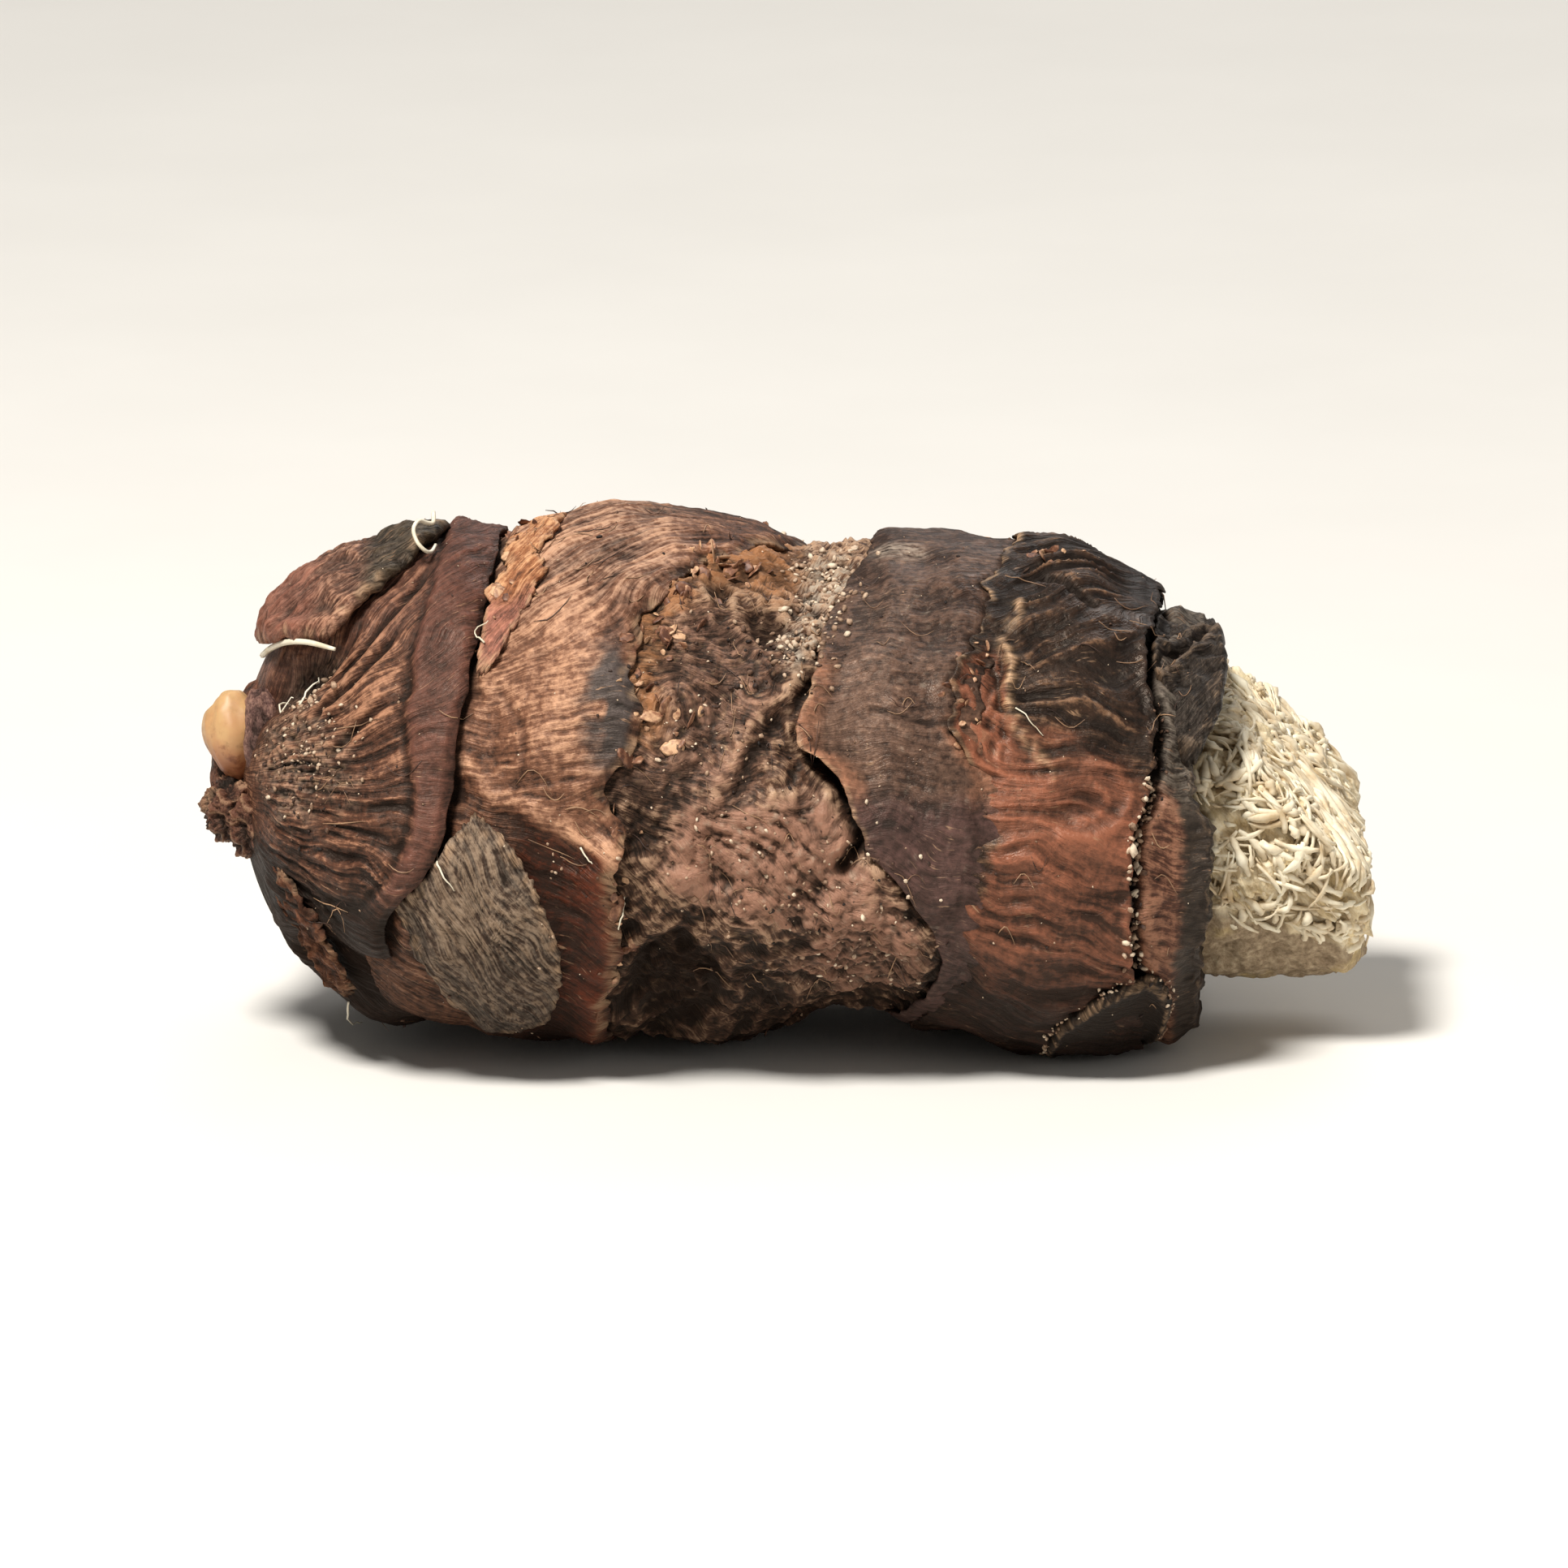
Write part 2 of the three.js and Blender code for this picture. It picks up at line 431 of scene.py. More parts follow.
def closed_grid(name, rows, columns, shape, material):
    """A closed skin. Its rows run along and its columns go once round. shape(row, turn) gives every
    vertex a place in mm and its attributes, and puts the first and the last row in one point each."""
    bm = bmesh.new()
    bmesh.ops.create_grid(bm, x_segments=rows, y_segments=columns, size=1.0)
    mesh = bpy.data.meshes.new(name)
    bm.to_mesh(mesh)
    bm.free()
    flat = np.empty(len(mesh.vertices) * 3)
    mesh.vertices.foreach_get("co", flat)
    steps = np.rint((flat.reshape(-1, 3)[:, :2] + 1) / 2 * [rows, columns]).astype(int)
    pick = steps[:, 0] * (columns + 1) + steps[:, 1]
    row, turn = np.meshgrid(np.arange(rows + 1.0), np.linspace(-180, 180, columns + 1), indexing="ij")
    places, attributes = shape(row, turn)
    places[..., 2] = np.maximum(places[..., 2], 0.0)
    mesh.vertices.foreach_set("co", (places / MM).reshape(-1, 3)[pick].ravel())
    store(mesh, attributes, pick)
    sewn(mesh, SKIN_GAP)
    return finished(name, mesh, material)


def skin_attributes(fibre, tone, wear, lift, turn, row_mm, column_mm):
    """What skin_finish reads, with painted shade on the underside added."""
    wear = np.clip(wear, 0, 1)
    wear[..., 0] = most(wear[..., 0], underside_shade(turn))
    return {"fibre": fibre, "tone": tone, "wear": wear, "relief": crests(lift, row_mm, column_mm)}


# How an edge is closed: share of the hem, mm back under the ring, and mm down from its face.
FREE_HEM = np.array([[0.0, 0.0, 0.0], [0.2, -0.07, 0.07], [0.4, -0.02, 0.2], [0.6, 0.3, 0.36],
                     [0.8, 1.0, 0.6], [1.0, 2.0, 1.8]])
TUCKED_HEM = np.array([[0.0, 0.0, 0.0], [1.0, 0.4, 1.5]])
HEM_ROWS = 6


def hemmed(u, lift, into, hem, way):
    """Bends the skin over along its edge. into is the share of the hem, and way the way back under."""
    back, down = (np.interp(into, hem[:, 0], hem[:, column]) for column in (1, 2))
    return u + way * back, lift - down


def leaf_base(name, left, right, rows, columns, surface, material):
    """One ring of skin as a closed solid. left and right are (edge, hem, margin): margin is how far the
    ring runs on under its neighbour. surface(u, turn) gives the lift above the chart, the places along
    the fibres, tone, and wear with painted shade in hollows. With no left edge the ring starts at the
    chart's pole."""
    rows, columns = finely(rows, columns)
    right_edge, right_hem, right_margin = right

    def shape(row, turn):
        first = 1 + HEM_ROWS if left else 0
        last = rows - 1 - HEM_ROWS
        share = np.clip((row - first) / (last - first), 0, 1)
        left_u = left[0](turn) - left[2] if left else CHART.POLE_U
        right_u = right_edge(turn) + right_margin
        u = left_u + (right_u - left_u) * share
        lift, fibre, tone, wear = surface(u, turn)
        row_mm = float(np.mean(right_u - left_u)) / (last - first)
        attributes = skin_attributes(fibre, tone, wear, lift, turn, row_mm, 360 * DEGREE / columns)
        if left:
            u, lift = hemmed(u, lift, np.clip((first - row) / HEM_ROWS, 0, 1), left[1], 1)
        u, lift = hemmed(u, lift, np.clip((row - last) / HEM_ROWS, 0, 1), right_hem, -1)
        places = CHART.at(u, turn, lift)
        if left:
            places[0] = CHART.centre(u[0])
        places[-1] = CHART.centre(u[-1])
        return gathered(places), attributes

    return closed_grid(name, rows, columns, shape, material)


def closed_curve(points, share):
    """Places along a smooth closed line through points, for share from 0 to 1."""
    corners = np.array(points, float)
    count = len(corners)
    along = (share % 1.0) * count
    i = np.floor(along).astype(int) % count
    t = (along - np.floor(along))[..., None]
    before, here, after, beyond = (corners[(i + k) % count] for k in (-1, 0, 1, 2))
    return curve_between(t, here, (after - before) / 2, after, (beyond - here) / 2)


def scale_piece(name, outline, middle, rows, columns, thickness, surface, material, ragged, seed):
    """A separate scale or flake of skin: a closed lens whose outline is a line of [u, turn] points,
    made ragged by that many mm. surface(u, turn, reach) is as for a ring, and reach runs from 0 in the
    middle to 1 at the outline."""
    rows, columns = finely(rows, columns)
    noise = Noise(seed)
    middle = np.array(middle, float)

    def shape(row, turn):
        share = turn / 360.0 + 0.5
        out = closed_curve(outline, share) - middle
        size = np.hypot(out[..., 0], out[..., 1] * DEGREE)
        loop = packed(3 * np.cos(share * math.tau), 3 * np.sin(share * math.tau), 0.0)
        torn = 1 + ragged * (noise(loop * 1.5) + 0.7 * noise(loop * 5)) / np.maximum(size, 0.5)
        reach = 1 - np.abs(row / rows * 2 - 1)
        spot = middle + out * (torn * reach)[..., None]
        u, around = spot[..., 0], spot[..., 1]
        lift, fibre, tone, wear = surface(u, around, reach)
        mean = float(size.mean())
        attributes = skin_attributes(fibre, tone, wear, lift, around, 2 * mean / rows, 4 * mean / columns)
        half = 0.5 * thickness * np.sqrt(np.clip(1 - reach**6, 0, 1))
        places = CHART.at(u, around, lift + np.where(row <= rows / 2, half, -half))
        return gathered(places), attributes

    return closed_grid(name, rows, columns, shape, material)


def pebble(name, centre, radii, tilt, rows, columns, swell, material):
    """A rounded body, tilted about Y. swell(direction) gives how far it stands out in mm, and its
    attributes."""
    rows, columns = finely(rows, columns)

    def shape(row, turn):
        up = math.pi / 2 - row / rows * math.pi
        t = np.radians(turn)
        way = packed(np.cos(up) * np.cos(t), np.cos(up) * np.sin(t), np.sin(up))
        lift, attributes = swell(way)
        body = way * (np.array(radii) + lift[..., None])
        x, y, z = (body[..., axis] for axis in range(3))
        c, s = math.cos(tilt), math.sin(tilt)
        return gathered(packed(x * c + z * s, y, z * c - x * s) + np.array(centre)), attributes

    return closed_grid(name, rows, columns, shape, material)


def strands(name, lines, material, sides=4):
    """Thin round hairs in one mesh. Each line is (points in mm, radii in mm)."""
    curve = bpy.data.curves.new(name + "_path", "CURVE")
    curve.dimensions = "3D"
    curve.bevel_depth = 1.0 / MM
    curve.bevel_resolution = (sides - 4) // 2
    curve.use_fill_caps = True
    for points, radii in lines:
        spline = curve.splines.new("POLY")
        spline.points.add(len(points) - 1)
        for knot, place, radius in zip(spline.points, points, radii):
            x, y, z = place
            knot.co = (x / MM, y / MM, max(z, 1.1 * radius) / MM, 1.0)
            knot.radius = radius
    path = bpy.data.objects.new(name + "_path", curve)
    mesh = bpy.data.meshes.new_from_object(path)
    mesh.name = name
    bpy.data.objects.remove(path)
    bpy.data.curves.remove(curve)
    sewn(mesh, HAIR_GAP)
    return finished(name, mesh, material)


class Landing:
    """Finds where things strewn over the finished skin come to rest."""

    DROP = 7.0  # mm above the chart, clear of every piece

    def __init__(self, pieces):
        bm = bmesh.new()
        for piece in pieces:
            bm.from_mesh(piece.data)
        self.tree = BVHTree.FromBMesh(bm)
        bm.free()

    def touch(self, u, turn):
        """The place on the skin, in mm, and the way that the skin faces there."""
        start = CHART.at(u, turn, self.DROP) / MM
        way = -CHART.direction(np.asarray(u, float), np.asarray(turn, float))
        place, normal, _, _ = self.tree.ray_cast(Vector(start), Vector(way))
        if place is None:
            return CHART.at(u, turn, 0.0), -way
        normal = np.array(normal)
        return np.array(place) * MM, normal if normal @ way < 0 else -normal


THINNEST = 0.025  # mm, the least thickness of a flake


def strewn(name, landing, clusters, material, seed, subdivisions=1):
    """Crumbs or flakes in one mesh. Each cluster is (how many, pick(rng) -> (u, turn), smallest and
    largest size in mm, thickness as a share of the size, tilt in degrees)."""
    rng = np.random.default_rng(seed)
    noise = Noise(seed)
    bm = bmesh.new()
    bmesh.ops.create_icosphere(bm, subdivisions=subdivisions, radius=1.0)
    ball = np.array([vert.co for vert in bm.verts])
    frames = []
    for count, pick, sizes, flatness, tilt in clusters:
        for _ in range(max(1, int(count * FINENESS))):
            u, turn = pick(rng)
            place, normal = landing.touch(u, turn)
            size = rng.uniform(*sizes) * rng.uniform(0.6, 1.0)
            lean = rng.normal(size=3) * math.radians(tilt)
            up = normal + lean
            up /= np.linalg.norm(up)
            side = np.cross(up, rng.normal(size=3))
            side /= np.linalg.norm(side)
            scale = np.array([size * rng.uniform(1.0, 1.7), size, max(size * flatness, THINNEST)]) / 2
            axes = np.array([side, np.cross(up, side), up])
            frames.append((place + normal * scale[2] * 0.5, axes, scale))
    for _ in frames[1:]:
        bmesh.ops.create_icosphere(bm, subdivisions=subdivisions, radius=1.0)
    mesh = bpy.data.meshes.new(name)
    bm.to_mesh(mesh)
    bm.free()
    everything = []
    for i, (place, axes, scale) in enumerate(frames):
        swell = 1 + 0.45 * noise(ball * 1.3 + i * 3.7)
        everything.append(place + (ball * swell[:, None] * scale) @ axes)
    places = np.concatenate(everything)
    places[:, 2] = np.maximum(places[:, 2], 0.0)
    mesh.vertices.foreach_set("co", (places / MM).ravel())
    tint = np.repeat(rng.uniform(0, 1, (len(frames), 3)), len(ball), axis=0)
    store(mesh, {"tint": tint})
    return finished(name, mesh, material)


# --- Materials ---


def linear(red, green, blue):
    """A screen colour, 0 to 255, as the linear colour that a shader takes."""
    parts = [c / 255.0 for c in (red, green, blue)]
    return (*[c / 12.92 if c <= 0.04045 else ((c + 0.055) / 1.055) ** 2.4 for c in parts], 1.0)


class Finish:
    """A node material under construction, with short calls for the nodes that it uses."""

    def __init__(self, name):
        self.material = bpy.data.materials.new(name)
        self.material.use_nodes = True
        self.nodes = self.material.node_tree.nodes
        self.links = self.material.node_tree.links
        self.shader = self.nodes["Principled BSDF"]

    def put(self, socket, value):
        if isinstance(value, bpy.types.NodeSocket):
            self.links.new(value, socket)
        elif value is not None:
            socket.default_value = value

    def attribute(self, name):
        node = self.nodes.new("ShaderNodeAttribute")
        node.attribute_name = name
        return node.outputs["Vector"]

    def parts(self, vector):
        node = self.nodes.new("ShaderNodeSeparateXYZ")
        self.put(node.inputs[0], vector)
        return node.outputs[0], node.outputs[1], node.outputs[2]

    def object_place(self):
        return self.nodes.new("ShaderNodeTexCoord").outputs["Object"]

    def noise(self, vector, scale, detail=4.0, roughness=0.55, distortion=0.0):
        node = self.nodes.new("ShaderNodeTexNoise")
        self.put(node.inputs["Vector"], vector)
        node.inputs["Scale"].default_value = scale
        node.inputs["Detail"].default_value = detail
        node.inputs["Roughness"].default_value = roughness
        node.inputs["Distortion"].default_value = distortion
        return node.outputs["Fac"]

    def math(self, operation, a, b, clamp=False):
        node = self.nodes.new("ShaderNodeMath")
        node.operation = operation
        node.use_clamp = clamp
        self.put(node.inputs[0], a)
        self.put(node.inputs[1], b)
        return node.outputs[0]

    def product(self, a, b):
        return self.math("MULTIPLY", a, b)

    def sum(self, *terms, clamp=False):
        total = terms[0]
        for term in terms[1:-1]:
            total = self.math("ADD", total, term)
        return self.math("ADD", total, terms[-1], clamp)

    def remap(self, value, low, high, to_low=0.0, to_high=1.0):
        node = self.nodes.new("ShaderNodeMapRange")
        node.interpolation_type = "SMOOTHSTEP"
        for socket, number in zip(node.inputs, (value, low, high, to_low, to_high)):
            self.put(socket, number)
        return node.outputs[0]

    def ramp(self, value, stops):
        node = self.nodes.new("ShaderNodeValToRGB")
        elements = node.color_ramp.elements
        while len(elements) < len(stops):
            elements.new(1.0)
        for element, (place, colour) in zip(elements, stops):
            element.position = place
            element.color = colour
        self.put(node.inputs[0], value)
        return node.outputs["Color"]

    def mix(self, share, a, b):
        node = self.nodes.new("ShaderNodeMix")
        node.data_type = "RGBA"
        node.clamp_factor = True
        self.put(node.inputs[0], share)
        self.put(node.inputs[6], a)
        self.put(node.inputs[7], b)
        return node.outputs[2]

    def bump(self, height, distance, strength=1.0, normal=None):
        node = self.nodes.new("ShaderNodeBump")
        node.inputs["Strength"].default_value = strength
        node.inputs["Distance"].default_value = distance
        self.put(node.inputs["Height"], height)
        self.put(node.inputs["Normal"], normal)
        return node.outputs["Normal"]

    def surface(self, **sockets):
        for label, value in sockets.items():
            self.put(self.shader.inputs[label.replace("_", " ").title().replace("Ior", "IOR")], value)
        return self.material


FRAYED = linear(196, 158, 122)
DUST = linear(178, 164, 146)
# The darkest colour: painted shade in crevices, hollows, gaps and on the underside, and dark mottling.
SHADE_AND_DIRT = linear(20, 11, 7)
WARM_SHEEN = (1.0, 0.82, 0.68, 1.0)
FINEST_BUMP = 0.00004  # m


# Each skin's colours, 0 to 255: dark, middle, light, first accent and second accent. Then its roughness,
# and how boldly its fibres are drawn.
# The second accents of tip_skin, copper_skin and grey_fibrous_skin are painted shade, which the surfaces
# lay on the undersides.
SKINS = {
    "tip_skin": ((30, 16, 10), (88, 55, 40), (176, 126, 96), (84, 53, 43), (30, 14, 8), 0.5, 1.0),
    "tan_skin": ((44, 24, 15), (114, 75, 55), (194, 146, 114), (62, 54, 51), (80, 33, 15), 0.5, 0.85),
    "knotted_skin": ((26, 16, 11), (82, 56, 42), (172, 138, 110), (118, 86, 70), (118, 80, 52), 0.5, 1.2),
    "satin_skin": ((44, 30, 24), (102, 76, 62), (160, 126, 104), (136, 94, 72), (84, 60, 55), 0.4, 0.5),
    "copper_skin": ((18, 11, 8), (52, 36, 27), (126, 93, 69), (116, 71, 52), (46, 21, 12), 0.4, 0.7),
    "collar_skin": ((22, 13, 10), (78, 47, 36), (150, 104, 80), (44, 37, 32), (46, 30, 26), 0.46, 1.0),
    "lobe_skin": ((36, 19, 13), (92, 56, 41), (176, 126, 98), (112, 68, 53), (50, 38, 22), 0.44, 1.0),
    "grey_fibrous_skin": ((28, 20, 15), (62, 46, 37), (138, 114, 92), (90, 62, 54), (38, 21, 15), 0.5, 0.8),
    "scar_skin": ((9, 6, 4), (20, 13, 10), (54, 40, 32), (30, 22, 22), (20, 13, 10), 0.4, 1.0),
    "flap_skin": ((13, 9, 7), (38, 30, 25), (98, 80, 64), (80, 52, 38), (30, 24, 20), 0.46, 1.0),
    "inner_skin": ((66, 36, 22), (152, 96, 62), (214, 160, 116), (138, 88, 72), (90, 50, 34), 0.5, 1.0),
    "rim_skin": ((34, 19, 13), (92, 56, 40), (164, 118, 88), (112, 66, 44), (60, 34, 24), 0.5, 1.0),
    "bud_sheath": ((44, 27, 24), (98, 68, 62), (150, 112, 96), (96, 66, 60), (60, 36, 30), 0.5, 1.0),
    "root_stub_skin": ((12, 7, 5), (42, 21, 15), (98, 58, 42), (70, 40, 28), (40, 26, 20), 0.5, 1.0),
}


def toned_ramp(f, shade, dark, middle, light, turning=0.5):
    """A colour from dark to light, through the middle one."""
    stops = zip((0.0, turning, 1.0), (dark, middle, light))
    return f.ramp(shade, [(place, linear(*colour)) for place, colour in stops])


def skin_finish(name):
    """Dried papery skin. Attribute tone holds lightness and the two accents' shares, wear holds painted
    shade in hollows, torn fibres and dust, relief holds crests, and fibre holds places along the fibres."""
    dark, middle, light, first_accent, second_accent, roughness, markings = SKINS[name]
    f = Finish(name)
    fibre = f.attribute("fibre")
    lightness, first, second = f.parts(f.attribute("tone"))
    hollow, torn, dust = f.parts(f.attribute("wear"))
    crest, swell, _ = f.parts(f.attribute("relief"))
    place = f.object_place()

    streaks = f.noise(fibre, 1.5, detail=6.0, roughness=0.68, distortion=0.25)
    threads = f.noise(fibre, 4.6, detail=3.0, roughness=0.65)
    blotches = f.noise(place, 240.0, detail=4.0, roughness=0.62)
    grain = f.noise(place, 2300.0, detail=3.0, roughness=0.62)

    shade = f.sum(
        lightness,
        f.remap(streaks, 0.28, 0.72, -0.14 * markings, 0.14 * markings),
        f.remap(threads, 0.3, 0.7, -0.22 * markings, 0.22 * markings),
        f.remap(blotches, 0.32, 0.68, -0.15, 0.15),
        f.remap(grain, 0.3, 0.7, -0.2, 0.2),
        # Crests are painted lighter and dips darker: partly paler skin on the crests, partly painted
        # highlight and painted shade.
        f.product(crest, 0.34),
        f.product(swell, 0.16),
        0.5,
        clamp=True,
    )
    colour = toned_ramp(f, shade, dark, middle, light)
    for share, accent in ((first, first_accent), (second, second_accent)):
        deep = [0.45 * c for c in accent]
        bright = [min(255, 1.3 * c) for c in accent]
        toned = toned_ramp(f, shade, deep, accent, bright, 0.55)
        patchy = f.sum(share, f.remap(streaks, 0.3, 0.7, -0.15 * markings, 0.15 * markings))
        colour = f.mix(f.remap(patchy, 0.15, 0.85), colour, toned)
    dusty = f.sum(f.product(threads, 0.6), f.product(grain, 0.4))
    colour = f.mix(f.product(dust, f.remap(dusty, 0.4, 0.62)), colour, DUST)
    # Pale flecks of skin, weighted a little towards the crests, where they also act as a painted highlight.
    flecks = f.remap(f.noise(fibre, 6.5, detail=2.0, roughness=0.7), 0.62, 0.72)
    flecks = f.product(flecks, f.remap(f.sum(blotches, f.product(crest, 0.1)), 0.46, 0.64))
    colour = f.mix(f.product(flecks, 0.7), colour, f.mix(0.5, FRAYED, linear(*light)))
    frayed = f.product(torn, f.remap(threads, 0.34, 0.6, 0.15, 1.0))
    colour = f.mix(frayed, colour, FRAYED)
    # Painted shade: crevices, and the hollows that the wear attribute marks, are darkened towards the
    # darkest colour.
    crevice_shade = f.sum(f.product(crest, -0.6), f.product(swell, -0.5), clamp=True)
    crevice_shade = f.product(f.remap(crevice_shade, 0.12, 1.0), 0.6)
    colour = f.mix(f.math("MAXIMUM", crevice_shade, f.product(hollow, 0.9)), colour, SHADE_AND_DIRT)

    rough = f.remap(threads, 0.3, 0.7, roughness + 0.12, roughness - 0.12)
    rough = f.sum(rough, f.product(f.math("MAXIMUM", dust, hollow), 0.6), clamp=True)
    normal = f.bump(streaks, 0.0002, 0.8)
    normal = f.bump(threads, 0.00014, 0.9, normal)
    normal = f.bump(grain, 0.00009, 0.9, normal)
    return f.surface(
        base_color=colour, roughness=rough, normal=normal, specular_ior_level=0.32, specular_tint=WARM_SHEEN
    )


def crumb_finish(name, dark, middle, light, roughness=0.75):
    """Crumbs and flakes. Each one has its own tint."""
    f = Finish(name)
    own, _, _ = f.parts(f.attribute("tint"))
    grain = f.noise(f.object_place(), 3000.0, detail=3.0)
    shade = f.sum(own, f.remap(grain, 0.3, 0.7, -0.3, 0.3), clamp=True)
    colour = toned_ramp(f, shade, dark, middle, light)
    return f.surface(
        base_color=colour, roughness=roughness, normal=f.bump(grain, FINEST_BUMP), specular_ior_level=0.4
    )


def hair_finish(name, dark, light, roughness, scale=500.0):
    f = Finish(name)
    cloudy = f.noise(f.object_place(), scale, detail=4.0)
    colour = f.ramp(cloudy, [(0.3, linear(*dark)), (0.68, linear(*light))])
    return f.surface(
        base_color=colour, roughness=roughness, normal=f.bump(cloudy, FINEST_BUMP), specular_ior_level=0.5
    )


# --- The rings of skin ---

GROUND = Noise(7)


def ground(u, turn):
    """The swells that all the rings share, so that they blend where they meet."""
    plain = plain_places(u, turn)
    lift = 0.42 * GROUND.cloud(plain / 7.0, 2) + 0.22 * GROUND(plain / 3.0 + 9)
    return lift - 0.3 * smooth(8, 20, u) * within(turn, 30, 78, 130, 165)


def ribbed(noise, u, turn, skew, about, pitch, stretch=8.0, sway=3.0):
    """Relief of lengthwise ribs, about -1 to 1, and the places along their fibres. A fibre climbs by
    skew degrees for each mm along. The ribs wander by sway degrees, and fade in and out."""
    # Besides the lift, the surfaces add these ribs to their lightness: the rib crests are paler skin and
    # partly a painted highlight.
    plain = plain_places(u, turn)
    wander = sway * noise.cloud(plain / 4.0 + 60, 2)
    across, upward = round_trip(turn + wander - skew * (u - about))
    fibre = packed(u / stretch, across, upward)
    close = fibre * [1, 1 / pitch, 1 / pitch]
    strength = smooth(-0.6, 0.3, noise(plain / 5.0 + 80))
    relief = 0.5 * noise(close * [1, 0.6, 0.6] + 3)
    relief += 0.45 * noise.ridges(close * [1.2, 0.8, 0.8] + 11) * strength
    relief += 0.3 * noise.ridges(close * [2, 1.9, 1.9] + 23)
    return relief, fibre


def tip_surface(u, turn):
    """The sheath round the bud: ribs that fan out from the tip, and a rounded welt along its edge."""
    noise, fine, plain = Noise(101), Noise(102), plain_places(u, turn)
    to_edge = TIP_EDGE(turn) - u
    skew = 4.4 * smooth(8, 52, turn) * smooth(175, 120, np.abs(turn)) - 1.0 * bell(turn, -26, 14)
    ribs, fibre = ribbed(noise, u, turn, skew, about=-19.0, pitch=0.95, sway=3.0)
    from_pole = smooth(-33.0, -27.5, u + 1.5 * noise(plain / 2.0 + 90))
    welt_width = 1.6 + 1.5 * within(turn, -10, 45, 120, 170)
    welt_width = welt_width + 0.35 * noise(plain_places(0 * u, turn) / 4.0)
    groove_share = smooth(-22, -8, turn)
    on_welt = smooth(welt_width + 0.3, welt_width - 0.5, to_edge) * groove_share
    strong = 0.2 + 0.28 * bell(turn, -2, 24)
    lift = ground(u, turn) * from_pole + 0.1
    lift += strong * ribs * (1 - on_welt) * from_pole
    lift += on_welt * (0.36 + 0.2 * ribs + 0.22 * noise(plain / [2.2, 3.5, 3.5] + 7))
    lift -= 0.14 * groove_share * bell(to_edge, welt_width + 0.1, 0.22) + 0.3 * smooth(0.5, 0.0, to_edge)
    lift -= 0.65 * within(turn, -150, -120, -32, -24) * smooth(2.0, 0.0, to_edge)
    # Painted shade: hollow darkens the groove behind the welt, the other grooves, the recess on top and the
    # cave below.
    hollow = 0.4 * groove_share * bell(to_edge, welt_width + 0.1, 0.18)
    hollow *= smooth(-0.3, 0.3, noise(plain / 2.5 + 4) + 0.2)
    for groove in (
        [[-27.0, 32], [-26.1, 38], [-23.9, 44], [-22.3, 52], [-20.7, 60], [-19.5, 72]],
        [[-26.9, 28], [-26.3, 32], [-24.3, 36], [-22.7, 42], [-21.2, 50]],
        [[-25.6, 18], [-23.8, 25], [-21.8, 31]],
    ):
        distance, fade = faded_line(u, turn, groove, 0.15, 0.8)
        lift += fade * (0.18 * bell(distance, 0.55, 0.3) - 0.36 * bell(distance, 0, 0.26))
        hollow = most(hollow, 0.7 * fade * bell(distance, 0, 0.2))
    recess = mound(u, turn, (-28.9, 46), (3.6, 2.2))
    lift -= 1.9 * recess
    cave = smooth(0.25, 0.8, 1.3 * mound(u, turn, (-24.6, -44), (4.0, 4.0)))
    lift -= 1.0 * cave
    crumbly = smooth(0.25, 0.7, mound(u, turn, (-28.6, 19), (4.2, 5.0)) + 0.35 * fine(plain / 1.2))
    crumbly = most(crumbly, 0.8 * smooth(0.3, 0.8, recess))
    lift += crumbly * 0.2 * fine.cloud(plain / 0.8, 2, 0.7)
    lift += 0.03 * fine.cloud(plain / 0.6, 2) * from_pole
    hollow = most(hollow, 0.8 * cave, 0.6 * smooth(0.2, 0.8, recess))
    # The lower front is painted darker and towards the dark second accent: painted shade on the underside.
    below = within(turn, -150, -110, -26, -2)
    light = 0.2 * ribs * (1 - on_welt) - 0.3 * below - 0.1 * crumbly - 0.12 * smooth(34, 60, turn)
    light -= 0.2 * bell(turn, -2, 14) * (1 - on_welt)
    tone = packed(light, 0.85 * on_welt + 0.5 * within(turn, 30, 55, 110, 150), 1.1 * below)
    wear = packed(hollow, 0.4 * crumbly * smooth(0.2, 0.6, fine(plain / 0.4)), 0.25 * crumbly)
    return lift, fibre, tone, wear


